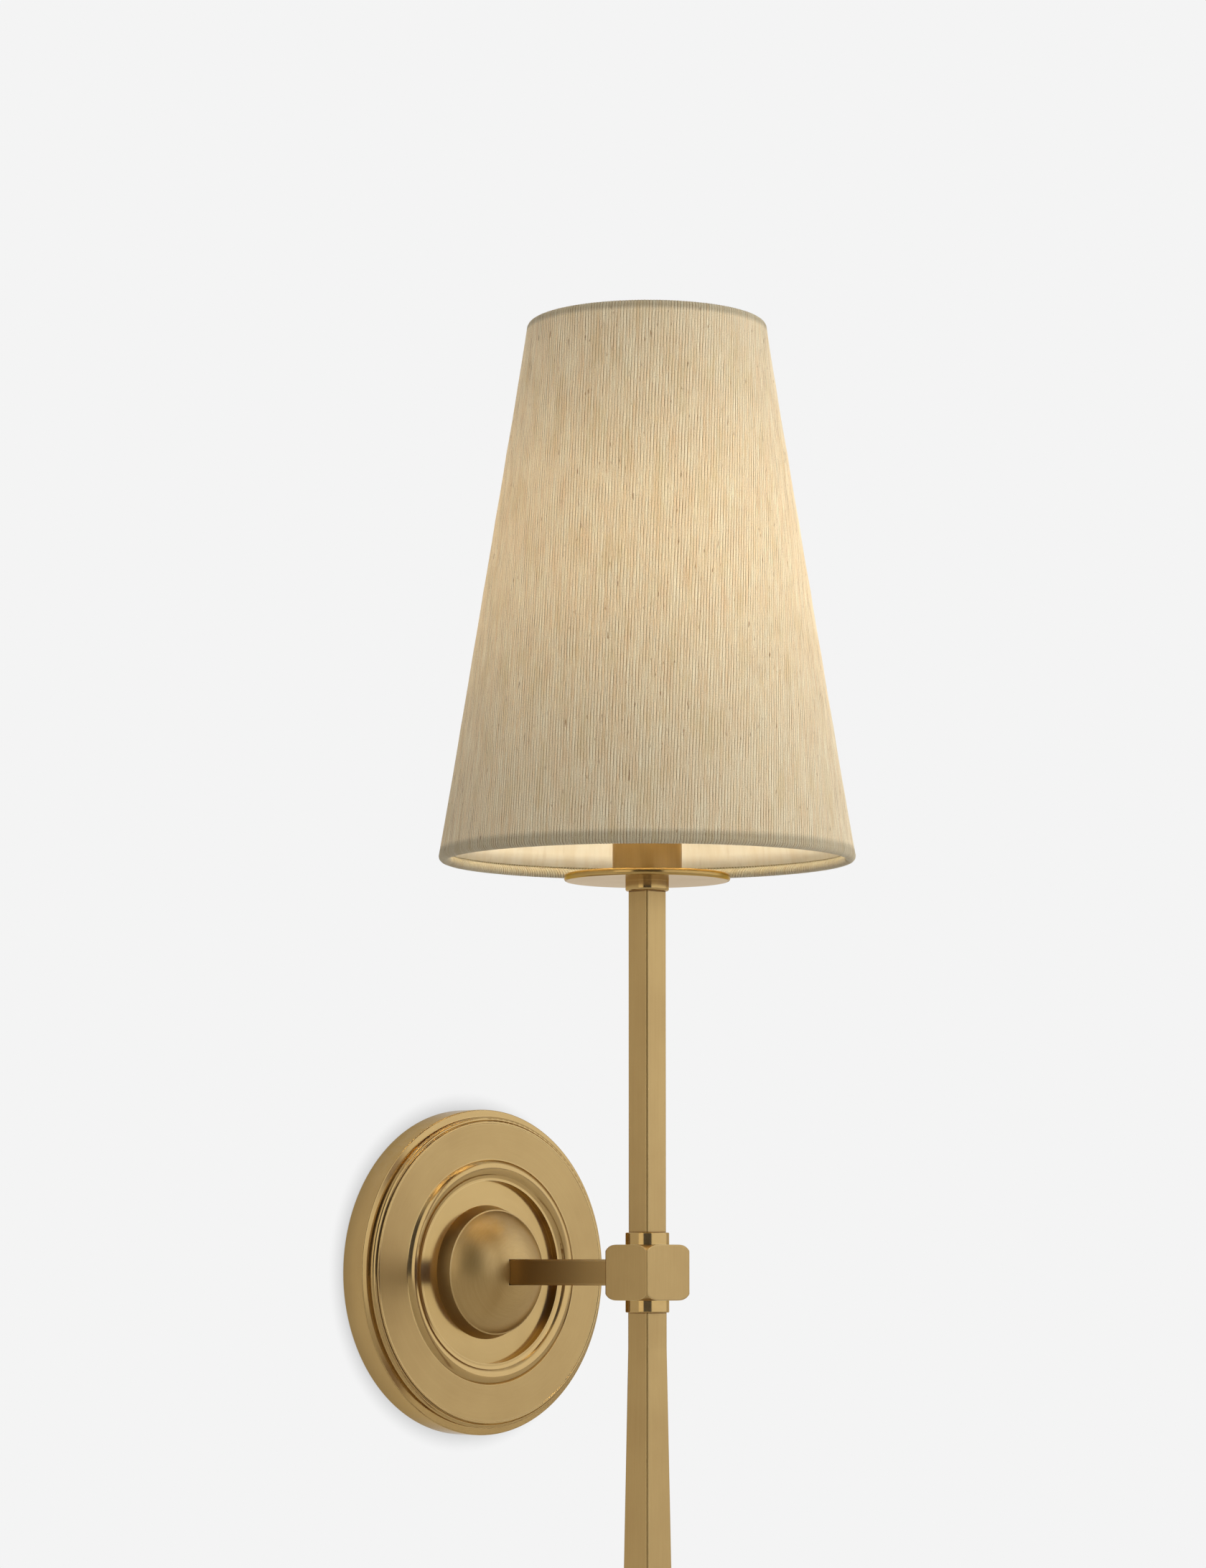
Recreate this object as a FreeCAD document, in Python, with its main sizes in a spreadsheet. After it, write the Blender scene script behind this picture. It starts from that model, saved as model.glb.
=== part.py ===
import FreeCAD, Part
import math
import os

import Sketcher
from FreeCAD import Placement, Rotation, Vector

# A wall light: a moulded round plate holds a square arm, the arm ends in a block on a square stem,
# and the stem carries a drip disc, a lamp holder and a tall tapered fabric shade.
# The origin is the centre of the plate on the wall. +Z is up and the light stands out along -Y.

doc = FreeCAD.newDocument("wall_light")
sheet = doc.addObject("Spreadsheet::Sheet", "Sizes")

DRIVING_SIZES = [
    # wall plate: radii about the arm's line, depths from the wall
    ("plate_radius", 60.0),
    ("plate_band", 10.3),
    ("plate_edge_round", 0.5),
    ("plate_ledge_width", 2.6),
    ("plate_ledge_rise", 0.4),
    ("plate_riser", 1.4),
    ("plate_ovolo", 1.2),
    ("plate_quirk", 0.5),
    ("plate_face_depth", 14.0),
    ("plate_fillet_width", 0.7),
    ("plate_fillet_rise", 0.15),
    ("plate_fillet_round", 0.3),
    ("plate_wall", 1.8),
    ("bead_outer_radius", 41.4),
    ("bead_quirk", 0.4),
    ("bead_crest_radius", 38.5),
    ("bead_inner_radius", 35.8),
    ("bead_height", 1.3),
    ("lip_width", 0.9),
    ("lip_drop", 0.3),
    ("recess_radius", 33.8),
    ("recess_floor_depth", 11.1),
    # bracket on the wall box, inside the plate
    ("bracket_sheet", 1.6),
    ("bracket_end_margin", 2.55),
    ("bracket_width", 20.0),
    ("bracket_corner_round", 4.0),
    ("bracket_hole_radius", 9.0),
    ("slot_spacing", 88.9),
    ("slot_length", 14.0),
    ("slot_width", 4.6),
    ("ear_width", 16.0),
    ("ear_clearance", 1.3),
    ("set_screw_depth", 4.4),
    ("set_screw_radius", 2.0),
    ("set_screw_length", 5.0),
    ("set_screw_sink", 0.3),
    ("set_screw_key", 2.0),
    ("ground_screw_place", 24.0),
    ("ground_screw_radius", 2.0),
    ("ground_head_radius", 4.0),
    ("ground_head_height", 2.2),
    # boss on the plate, and its fixing
    ("hub_base_radius", 24.7),
    ("hub_shoulder_radius", 23.0),
    ("hub_shoulder_rise", 5.5),
    ("hub_dome_rise", 12.8),
    ("hub_step", 0.45),
    ("arm_socket_depth", 5.7),
    ("washer_thickness", 0.8),
    ("washer_radius", 8.0),
    ("washer_tooth", 1.2),
    ("washer_teeth", 10),
    ("hub_nut_thickness", 4.0),
    ("nut_across_flats", 13.0),
    ("bushing_flange", 1.0),
    ("bushing_radius", 5.0),
    ("bushing_bore_radius", 2.35),
    ("bushing_sleeve", 6.0),
    # threaded tube that carries the leads and draws every joint together
    ("tube_radius", 4.0),
    ("tube_bore_radius", 2.7),
    ("tube_grip", 10.0),
    ("tube_stick_out", 1.6),
    ("joint_tube_length", 16.0),
    ("joint_tube_sink", 5.5),
    ("tapped_depth", 12.0),
    # arm, block, collars, stem and tail
    ("reach", 96.0),
    ("arm_side", 9.4),
    ("arm_chamfer", 0.55),
    ("lead_bore_radius", 3.1),
    ("block_side", 21.6),
    ("block_height", 19.8),
    ("block_edge_round", 0.8),
    ("block_rim_round", 3.9),
    ("collar_radius", 7.8),
    ("collar_height", 4.3),
    ("collar_edge_round", 0.4),
    ("stem_side", 10.0),
    ("stem_chamfer", 0.65),
    ("stem_length", 121.8),
    ("tail_top_side", 10.3),
    ("tail_straight", 12.8),
    ("tail_length", 203.4),
    ("tail_end_side", 15.7),
    ("tail_end_chamfer", 1.2),
    # drip disc and lamp holder
    ("head_collar_height", 3.6),
    ("head_collar_round", 0.8),
    ("disc_radius", 29.75),
    ("disc_thickness", 2.5),
    ("disc_edge_round", 0.9),
    ("cup_radius", 12.4),
    ("cup_wall", 1.0),
    ("cup_height", 26.0),
    ("head_nut_thickness", 3.0),
    ("holder_thread_depth", 6.0),
    ("holder_cavity_radius", 8.0),
    ("holder_cavity_height", 12.8),
    ("holder_web", 3.0),
    ("holder_flange_radius", 16.7),
    ("holder_flange_height", 3.0),
    ("holder_flange_place", 24.8),
    ("sleeve_radius", 14.0),
    ("sleeve_height", 20.0),
    ("shell_radius", 6.65),
    ("shell_wall", 0.4),
    ("shell_height", 22.0),
    ("shell_floor_radius", 3.9),
    ("contact_width", 4.0),
    ("contact_sheet", 0.5),
    ("contact_rise", 3.6),
    ("contact_half_length", 2.8),
    ("contact_rivet_radius", 1.4),
    ("terminal_radius", 1.15),
    ("terminal_height", 5.5),
    # leads
    ("lead_radius", 0.85),
    ("lead_offset", 1.4),
    ("lead_bend", 8.0),
    # bulb: heights from its contact
    ("bulb_button_radius", 2.2),
    ("bulb_button_height", 1.2),
    ("bulb_insulator_height", 2.2),
    ("bulb_cap_radius", 5.85),
    ("bulb_cap_height", 15.6),
    ("bulb_cap_wall", 0.4),
    ("glass_radius", 9.5),
    ("glass_wall", 0.8),
    ("glass_neck_radius", 5.3),
    ("glass_neck_top", 23.0),
    ("glass_shoulder_top", 31.0),
    ("glass_top", 117.0),
    ("glass_sunk", 4.0),
    ("mount_rod_radius", 0.9),
    ("mount_flare_top", 34.0),
    ("filament_radius", 0.8),
    ("filament_circle", 4.2),
    ("filament_start", 44.0),
    ("filament_length", 62.0),
    ("filament_count", 4),
    ("filament_wire_radius", 0.35),
    # shade: ring heights from the disc's top face
    ("bottom_ring_radius", 72.6),
    ("bottom_ring_height", 6.2),
    ("top_ring_radius", 41.3),
    ("top_ring_height", 197.2),
    ("ring_wire_radius", 1.3),
    ("hem_roll_radius", 1.95),
    ("hem_stand_out", 0.2),
    ("fabric_thickness", 0.6),
    ("lining_thickness", 0.4),
    ("fitter_radius", 20.0),
    ("fitter_thickness", 1.4),
    ("spider_arms", 3),
    ("spider_wire_radius", 1.2),
    ("spider_inset", 0.9),
    ("spider_bend", 7.0),
    ("clamp_ring_radius", 18.0),
    ("clamp_ring_height", 7.5),
    ("clamp_ring_flutes", 12),
    ("clamp_flute_radius", 1.6),
    # fits
    ("slip", 0.1),
    ("running_gap", 0.3),
]


class Size:
    """A length, with its value in millimetres and the formula that the document keeps for it."""

    def __init__(self, value, formula):
        self.value = value
        self.formula = formula

    def __add__(self, other):
        other = as_size(other)
        return Size(self.value + other.value, f"({self.formula} + {other.formula})")

    def __sub__(self, other):
        other = as_size(other)
        return Size(self.value - other.value, f"({self.formula} - {other.formula})")

    def __mul__(self, other):
        other = as_size(other)
        return Size(self.value * other.value, f"({self.formula} * {other.formula})")

    def __truediv__(self, other):
        other = as_size(other)
        return Size(self.value / other.value, f"({self.formula} / {other.formula})")

    def __neg__(self):
        return as_size(0.0) - self


def as_size(value):
    return value if isinstance(value, Size) else Size(float(value), f"{float(value):.9g}")


sizes = {}
for row, (alias, value) in enumerate(DRIVING_SIZES, start=1):
    sheet.set(f"A{row}", alias)
    sheet.set(f"B{row}", str(value))
    sheet.setAlias(f"B{row}", alias)
    sizes[alias] = Size(float(value), f"Sizes.{alias}")
doc.recompute()


def bind(thing, field, size):
    """Tie one field of a document object to a size."""
    thing.setExpression(field, as_size(size).formula)


# ---- sketches -----------------------------------------------------------------------------------

def origin_feature(body, role):
    return next(item for item in body.Origin.OriginFeatures if item.Role == role)


def new_sketch(body, plane, lift=None):
    """A sketch on one of the body's own origin planes, lifted along its normal where given."""
    drawing = body.newObject("Sketcher::SketchObject", body.Label + "_sketch")
    drawing.AttachmentSupport = (origin_feature(body, plane), [""])
    drawing.MapMode = "FlatFace"
    if lift is not None:
        bind(drawing, "AttachmentOffset.Base.z", lift)
    return drawing


def pin(drawing, name, kind, geometry, point, size):
    """Fix one coordinate of a sketch point from the sketch's origin."""
    size = as_size(size)
    if abs(size.value) < 1e-9:
        axis = -2 if kind == "DistanceX" else -1
        drawing.addConstraint(Sketcher.Constraint("PointOnObject", geometry, point, axis))
        return
    constraint = Sketcher.Constraint(kind, -1, 1, geometry, point, size.value)
    index = drawing.addConstraint(constraint)
    drawing.renameConstraint(index, name)
    bind(drawing, f"Constraints.{name}", size)


def arc_between(start, end, radius):
    """An arc of a circle: it turns left on its way to the end where the radius is positive."""
    chord = end - start
    middle = (start + end) * 0.5
    side = Vector(-chord.y, chord.x, 0).normalize()
    reach = math.sqrt(radius ** 2 - (chord.Length / 2) ** 2)
    centre = middle + side * (reach if radius > 0 else -reach)
    first, last = (start, end) if radius > 0 else (end, start)
    first_angle = math.atan2(first.y - centre.y, first.x - centre.x)
    last_angle = math.atan2(last.y - centre.y, last.x - centre.x)
    circle = Part.Circle(centre, Vector(0, 0, 1), abs(radius))
    return Part.ArcOfCircle(circle, first_angle, last_angle)


def draw_path(drawing, corners, closed=True):
    """Lines and arcs through the corners; a third item is the radius of the arc that ends there."""
    spots = [Vector(as_size(corner[0]).value, as_size(corner[1]).value, 0) for corner in corners]
    count = len(corners)
    spans = count if closed else count - 1
    ends = []
    for index in range(spans):
        following = (index + 1) % count
        corner = corners[following]
        if len(corner) == 3:
            radius = as_size(corner[2])
            piece = drawing.addGeometry(arc_between(spots[index], spots[following], radius.value))
            ends.append((piece, 1, 2) if radius.value > 0 else (piece, 2, 1))
            size = radius if radius.value > 0 else -radius
            mark = drawing.addConstraint(Sketcher.Constraint("Radius", piece, size.value))
            drawing.renameConstraint(mark, f"round{index}")
            bind(drawing, f"Constraints.round{index}", size)
        else:
            piece = drawing.addGeometry(Part.LineSegment(spots[index], spots[following]))
            ends.append((piece, 1, 2))
    for index in range(count if closed else count - 2):
        piece, _, last = ends[index]
        next_piece, first, _ = ends[(index + 1) % spans]
        drawing.addConstraint(Sketcher.Constraint("Coincident", piece, last, next_piece, first))
    for index, corner in enumerate(corners):
        if index < spans:
            piece, point, _ = ends[index]
        else:
            piece, _, point = ends[-1]
        pin(drawing, f"across{index}", "DistanceX", piece, point, corner[0])
        pin(drawing, f"up{index}", "DistanceY", piece, point, corner[1])


def draw_circle(drawing, across, up, radius, name=""):
    across, up, radius = as_size(across), as_size(up), as_size(radius)
    centre = Vector(across.value, up.value, 0)
    piece = drawing.addGeometry(Part.Circle(centre, Vector(0, 0, 1), radius.value))
    mark = drawing.addConstraint(Sketcher.Constraint("Radius", piece, radius.value))
    drawing.renameConstraint(mark, f"radius{name}")
    bind(drawing, f"Constraints.radius{name}", radius)
    pin(drawing, f"across{name}", "DistanceX", piece, 3, across)
    pin(drawing, f"up{name}", "DistanceY", piece, 3, up)


def rectangle(left, bottom, right, top):
    return [(left, bottom), (right, bottom), (right, top), (left, top)]


def chamfered_square(side, chamfer):
    half = side / 2
    cut = half - chamfer
    return [(half, -cut), (half, cut), (cut, half), (-cut, half),
            (-half, cut), (-half, -cut), (-cut, -half), (cut, -half)]


def hexagon(across_flats):
    half = across_flats / 2
    corner = across_flats / math.sqrt(3)
    return [(corner, 0), (corner / 2, half), (-corner / 2, half),
            (-corner, 0), (-corner / 2, -half), (corner / 2, -half)]


# ---- bodies and features ------------------------------------------------------------------------

UPRIGHT = Rotation()
FROM_WALL = Rotation(Vector(1, 0, 0), 90)       # own +Z points out of the wall, own +Y up
HANGING = Rotation(Vector(1, 0, 0), 180)        # own +Z points down
TO_WALL = Rotation(Vector(0, 0, 1), 90)         # own +X points at the wall


nodes = []


def new_body(label, y=0, z=0, turn=UPRIGHT, x=0, member=False):
    """A body with its own label and place; a member belongs to a group of alike solids."""
    body = doc.addObject("PartDesign::Body", label)
    body.AllowCompound = True
    place(body, x, y, z, turn)
    if not member:
        nodes.append(body)
    return body


def place(thing, x, y, z, turn=UPRIGHT):
    spots = [as_size(x), as_size(y), as_size(z)]
    thing.Placement = Placement(Vector(*[spot.value for spot in spots]), turn)
    for letter, spot in zip("xyz", spots):
        bind(thing, f"Placement.Base.{letter}", spot)


def revolve(body, corners, kind="Revolution"):
    """Turn an outline of (radius, height) corners about the body's own Z axis."""
    drawing = new_sketch(body, "XZ_Plane")
    draw_path(drawing, corners)
    return turn_sketch(body, drawing, kind)


def revolve_circle(body, across, up, radius, kind="Revolution"):
    drawing = new_sketch(body, "XZ_Plane")
    draw_circle(drawing, across, up, radius)
    return turn_sketch(body, drawing, kind)


def turn_sketch(body, drawing, kind):
    feature = body.newObject("PartDesign::" + kind, body.Label + "_turned")
    feature.Profile = drawing
    feature.ReferenceAxis = (drawing, ["V_Axis"])
    feature.Angle = 360
    doc.recompute()
    return feature


def pad(body, corners, length, lift=None, plane="XY_Plane", midplane=False):
    drawing = new_sketch(body, plane, lift)
    draw_path(drawing, corners)
    return extrude(body, drawing, "Pad", length, midplane)


def pad_circle(body, radius, length, lift=None, across=0, up=0):
    drawing = new_sketch(body, "XY_Plane", lift)
    draw_circle(drawing, across, up, radius)
    return extrude(body, drawing, "Pad", length, False)


def extrude(body, drawing, kind, length, midplane):
    feature = body.newObject("PartDesign::" + kind, body.Label + "_" + kind.lower())
    feature.Profile = drawing
    if midplane:
        feature.SideType = "Symmetric"
    if length is None:
        feature.Type = "ThroughAll"
    else:
        bind(feature, "Length", length)
    doc.recompute()
    return feature


def pocket(body, corners, length=None, lift=None, plane="XY_Plane", midplane=False, rise=True):
    """Cut an outline out of the body, along the sketch's normal where rise is true."""
    drawing = new_sketch(body, plane, lift)
    draw_path(drawing, corners)
    return cut(body, drawing, length, midplane, rise)


def drill(body, radius, length=None, lift=None, plane="XY_Plane", across=0, up=0, midplane=False,
          rise=True):
    """Cut a round hole out of the body, along the sketch's normal where rise is true."""
    drawing = new_sketch(body, plane, lift)
    draw_circle(drawing, across, up, radius)
    return cut(body, drawing, length, midplane, rise)


def cut(body, drawing, length, midplane, rise):
    before = body.Tip.Shape.Volume
    feature = body.newObject("PartDesign::Pocket", body.Label + "_pocket")
    feature.Profile = drawing
    if midplane:
        feature.SideType = "Symmetric"
    feature.Reversed = rise and not midplane
    if length is None:
        feature.Type = "ThroughAll"
    else:
        bind(feature, "Length", length)
    doc.recompute()
    if not feature.Shape.Volume < before:
        raise RuntimeError(f"{body.Label}: a pocket removes nothing")
    return feature


def pattern(body, feature, count, axis="Z_Axis"):
    """Repeat a feature evenly round one of the body's own axes."""
    copies = body.newObject("PartDesign::PolarPattern", body.Label + "_pattern")
    copies.Originals = [feature]
    copies.Axis = (origin_feature(body, axis), [""])
    copies.Angle = 360
    bind(copies, "Occurrences", count)
    body.Tip = copies
    doc.recompute()
    return copies


def mirror(body, features, plane):
    copies = body.newObject("PartDesign::Mirrored", body.Label + "_mirrored")
    copies.Originals = features
    copies.MirrorPlane = (origin_feature(body, plane), [""])
    body.Tip = copies
    doc.recompute()
    return copies


def dress(body, kind, edges, field, size):
    """Round or chamfer the named edges of the body's last feature."""
    if not edges:
        raise RuntimeError(f"{body.Label}: no edge to dress")
    base = body.Tip
    feature = body.newObject("PartDesign::" + kind, body.Label + "_" + kind.lower())
    feature.Base = (base, edges)
    bind(feature, field, size)
    doc.recompute()
    check_state(feature)
    return feature


def check_state(item):
    if "Invalid" in item.State or "Error" in item.State:
        raise RuntimeError(f"{item.Label} failed: {item.State}")


def rim_edges(body, rims):
    """Names of the circular edges about Z at the given (radius, height) pairs."""
    wanted = [(as_size(radius).value, as_size(height).value) for radius, height in rims]
    names = []
    for number, edge in enumerate(body.Tip.Shape.Edges, start=1):
        curve = None if edge.Degenerated else edge.Curve
        if not isinstance(curve, Part.Circle) or abs(abs(curve.Axis.z) - 1) > 1e-6:
            continue
        for radius, height in wanted:
            if abs(curve.Radius - radius) < 1e-4 and abs(curve.Center.z - height) < 1e-4:
                names.append(f"Edge{number}")
                break
    return names


def round_rims(body, rims, size):
    return dress(body, "Fillet", rim_edges(body, rims), "Radius", size)


def upright_edges(body):
    """Names of the straight edges along Z."""
    names = []
    for number, edge in enumerate(body.Tip.Shape.Edges, start=1):
        if not isinstance(edge.Curve, Part.Line):
            continue
        first, last = edge.Vertexes[0].Point, edge.Vertexes[-1].Point
        if (last - first).cross(Vector(0, 0, 1)).Length < 1e-6:
            names.append(f"Edge{number}")
    return names


def group(label, members):
    """Several separate solids that share one name."""
    compound = doc.addObject("Part::Compound", label)
    compound.Links = members
    nodes.append(compound)


# ---- heights and depths that several pieces share ------------------------------------------------

S = sizes
ledge_depth = S["plate_band"] + S["plate_ledge_rise"]
ledge_radius = S["plate_radius"] - S["plate_ledge_width"]
riser_top = ledge_depth + S["plate_riser"]
plate_inside_radius = S["plate_radius"] - S["plate_wall"]
seat_depth = S["recess_floor_depth"] - S["plate_wall"]
arm_start = (S["recess_floor_depth"] + S["hub_shoulder_rise"] + S["hub_dome_rise"]
             - S["arm_socket_depth"])
block_back = S["reach"] - S["block_side"] / 2
stem_y = -S["reach"]
block_top = S["block_height"] / 2
stem_start = block_top + S["collar_height"]
stem_end = stem_start + S["stem_length"]
disc_under = stem_end + S["head_collar_height"]
head_z = disc_under + S["disc_thickness"]
holder_start = S["cup_wall"] + S["head_nut_thickness"]
cavity_start = holder_start + S["holder_thread_depth"]
cavity_end = cavity_start + S["holder_cavity_height"]
web_top = cavity_end + S["holder_web"]
fitter_seat = holder_start + S["holder_flange_place"] + S["holder_flange_height"]
tube_fit = S["tube_radius"] + S["slip"]
bulb_tip = web_top + S["contact_rise"] + S["contact_sheet"] + S["running_gap"]
lead_top = cavity_end - S["terminal_height"]
ear_outer = plate_inside_radius - S["ear_clearance"]
ear_inner = ear_outer - S["bracket_sheet"]
ear_depth = S["plate_band"] - S["plate_wall"] - S["running_gap"] * 2
tube_start = seat_depth - S["washer_thickness"] - S["hub_nut_thickness"] - S["tube_stick_out"]
lead_mouth = tube_start - S["bushing_flange"]


# ---- wall side ----------------------------------------------------------------------------------

def make_bracket():
    body = new_body("mounting_bracket", turn=FROM_WALL)
    inner_tip = S["slot_spacing"] / 2 - S["slot_length"] / 2
    outer_tip = S["slot_spacing"] / 2 + S["slot_length"] / 2
    length, width = outer_tip + S["bracket_end_margin"], S["bracket_width"] / 2
    pad(body, rectangle(-length, -width, length, width), S["bracket_sheet"])
    dress(body, "Fillet", upright_edges(body), "Radius", S["bracket_corner_round"])
    half = S["ear_width"] / 2
    pad(body, rectangle(-half, -ear_outer, half, ear_outer), S["bracket_sheet"])
    ear = pad(body, rectangle(-half, ear_inner, half, ear_outer), ear_depth)
    mirror(body, [ear], "XZ_Plane")
    drill(body, S["bracket_hole_radius"])
    side = S["slot_width"] / 2
    first, last = inner_tip + side, outer_tip - side
    slot = pocket(body, [
        (first, -side, side),
        (last, -side),
        (outer_tip, 0, side),
        (last, side, side),
        (first, side),
        (inner_tip, 0, side),
    ])
    mirror(body, [slot], "YZ_Plane")
    drill(body, S["ground_screw_radius"] + S["slip"], across=S["ground_screw_place"])
    drill(body, S["set_screw_radius"] + S["slip"], plane="XZ_Plane", up=S["set_screw_depth"],
          midplane=True)


def make_ground_screw():
    body = new_body("ground_screw", x=S["ground_screw_place"], turn=FROM_WALL)
    sheet_metal, head = S["bracket_sheet"], S["ground_head_height"]
    pad_circle(body, S["ground_screw_radius"], sheet_metal)
    pad_circle(body, S["ground_head_radius"], head, lift=sheet_metal)
    half, reach = S["ground_head_radius"] / 8, S["ground_head_radius"] * 2
    pocket(body, rectangle(-reach, -half, reach, half), lift=sheet_metal + head / 2)


def crest_radius(run, rise):
    """Radius of an arc that leaves its crest level and falls by the rise over the run."""
    return (run * run + rise * rise) / (rise * 2)


def make_backplate():
    body = new_body("backplate", turn=FROM_WALL)
    wall, face, floor = S["plate_wall"], S["plate_face_depth"], S["recess_floor_depth"]
    quirk, ovolo = S["plate_quirk"], S["plate_ovolo"]
    ovolo_top = riser_top + ovolo
    groove_radius = ledge_radius - ovolo
    fillet_radius = groove_radius - quirk
    fillet_top = face + S["plate_fillet_rise"]
    fillet_foot = fillet_radius - S["plate_fillet_width"]
    bead_foot = S["bead_outer_radius"] - S["bead_quirk"]
    crest = face + S["bead_height"]
    lip = face - S["lip_drop"]
    outside = crest_radius(bead_foot - S["bead_crest_radius"], S["bead_height"])
    inside = crest_radius(S["bead_crest_radius"] - S["bead_inner_radius"], S["bead_height"])
    recess_back = S["recess_radius"] + wall
    revolve(body, [
        (plate_inside_radius, 0),
        (S["plate_radius"], 0),
        (S["plate_radius"], S["plate_band"]),
        (ledge_radius, ledge_depth),
        (ledge_radius, riser_top),
        (groove_radius, ovolo_top, ovolo),
        (groove_radius - quirk / 2, ovolo_top - quirk / 2),
        (fillet_radius, ovolo_top),
        (fillet_radius, fillet_top),
        (fillet_foot, fillet_top),
        (fillet_foot - S["plate_fillet_rise"], face),
        (S["bead_outer_radius"], face),
        (S["bead_outer_radius"] - S["bead_quirk"] / 2, face - S["bead_quirk"] / 2),
        (bead_foot, face),
        (S["bead_crest_radius"], crest, outside),
        (S["bead_inner_radius"], face, inside),
        (S["recess_radius"] + S["lip_width"], lip),
        (S["recess_radius"], lip),
        (S["recess_radius"], floor),
        (tube_fit, floor),
        (tube_fit, seat_depth),
        (recess_back, seat_depth),
        (recess_back, face - wall),
        (ledge_radius - wall, face - wall),
        (ledge_radius - wall, S["plate_band"] - wall),
        (plate_inside_radius, S["plate_band"] - wall),
    ])
    round_rims(body, [(S["plate_radius"], S["plate_band"])], S["plate_edge_round"])
    round_rims(body, [(fillet_radius, fillet_top)], S["plate_fillet_round"])
    drill(body, S["set_screw_radius"] + S["slip"], plane="XZ_Plane", up=S["set_screw_depth"],
          midplane=True)


def make_set_screws():
    members = []
    reach = S["plate_radius"] - S["set_screw_sink"]
    for label, z, turn in (("screw_above", reach, HANGING), ("screw_below", -reach, UPRIGHT)):
        body = new_body(label, y=-S["set_screw_depth"], z=z, turn=turn, member=True)
        pad_circle(body, S["set_screw_radius"], S["set_screw_length"])
        pocket(body, hexagon(S["set_screw_key"]), S["set_screw_length"] / 2)
        members.append(body)
    group("plate_set_screws", members)


def make_hub():
    body = new_body("hub", y=-S["recess_floor_depth"], turn=FROM_WALL)
    shoulder, step = S["hub_shoulder_rise"], S["hub_step"]
    top = shoulder + S["hub_dome_rise"]
    dome_foot = S["hub_shoulder_radius"] - step
    revolve(body, [
        (0, 0),
        (S["hub_base_radius"], 0),
        (S["hub_shoulder_radius"], shoulder - step / 2),
        (dome_foot, shoulder),
        (0, top, crest_radius(dome_foot, S["hub_dome_rise"])),
    ])
    drill(body, tube_fit)
    half = S["arm_side"] / 2 + S["slip"]
    pocket(body, rectangle(-half, -half, half, half), lift=top - S["arm_socket_depth"])


def make_tube(label, start, length, **spot):
    """A threaded tube, drawn with plain walls at the outside of its thread."""
    body = new_body(label, **spot)
    pad_circle(body, S["tube_radius"], length, lift=start)
    drill(body, S["tube_bore_radius"], lift=start)
    return body


def make_nut(label, start, thickness, **spot):
    body = new_body(label, **spot)
    pad(body, hexagon(S["nut_across_flats"]), thickness, lift=start)
    drill(body, tube_fit)


def make_washer():
    body = new_body("lock_washer", turn=FROM_WALL)
    radius, tooth = S["washer_radius"], S["washer_tooth"]
    pad_circle(body, radius, S["washer_thickness"], lift=seat_depth - S["washer_thickness"])
    drill(body, tube_fit)
    notch = pocket(body, [
        (radius - tooth, 0),
        (radius + tooth, -tooth / 2),
        (radius + tooth, tooth / 2),
    ])
    pattern(body, notch, S["washer_teeth"])


def make_bushing():
    """The collar that keeps the leads off the rim of the tube where they leave for the wall box."""
    body = new_body("lead_bushing", turn=FROM_WALL)
    bore, sleeve = S["bushing_bore_radius"], S["tube_bore_radius"] - S["slip"]
    sleeve_end = tube_start + S["bushing_sleeve"]
    revolve(body, [
        (bore, lead_mouth),
        (S["bushing_radius"], lead_mouth),
        (S["bushing_radius"], tube_start),
        (sleeve, tube_start),
        (sleeve, sleeve_end),
        (bore, sleeve_end),
    ])


# ---- arm, block, collars, stem and tail -----------------------------------------------------------

def make_bar(label, side, chamfer, length, tapped_ends, **spot):
    """A square bar with chamfered corners, a bore for the leads, and a tapped hole at its ends."""
    body = new_body(label, **spot)
    pad(body, chamfered_square(side, chamfer), length)
    drill(body, S["lead_bore_radius"])
    depth = S["tapped_depth"]
    for start in tapped_ends:
        drill(body, tube_fit, depth, lift=start)


def make_block():
    body = new_body("junction_block", y=stem_y)
    half, top = S["block_side"] / 2, S["block_height"] / 2
    pad(body, rectangle(-half, -half, half, half), S["block_height"], midplane=True)
    dress(body, "Fillet", upright_edges(body), "Radius", S["block_edge_round"])
    corner, turn = S["block_side"] / math.sqrt(2), S["block_rim_round"]
    rim = revolve(body, [
        (corner, top - turn, -turn),
        (corner + turn, top - turn),
        (corner + turn, top + turn),
        (corner - turn, top + turn),
        (corner - turn, top),
    ], "Groove")
    mirror(body, [rim], "XY_Plane")
    drill(body, tube_fit, midplane=True)
    drill(body, tube_fit, S["block_side"], plane="XZ_Plane", rise=False)


def make_collar(label, height, rounding, rims, **spot):
    body = new_body(label, **spot)
    pad_circle(body, S["collar_radius"], height)
    drill(body, tube_fit)
    round_rims(body, [(S["collar_radius"], rim) for rim in rims], rounding)


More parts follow.
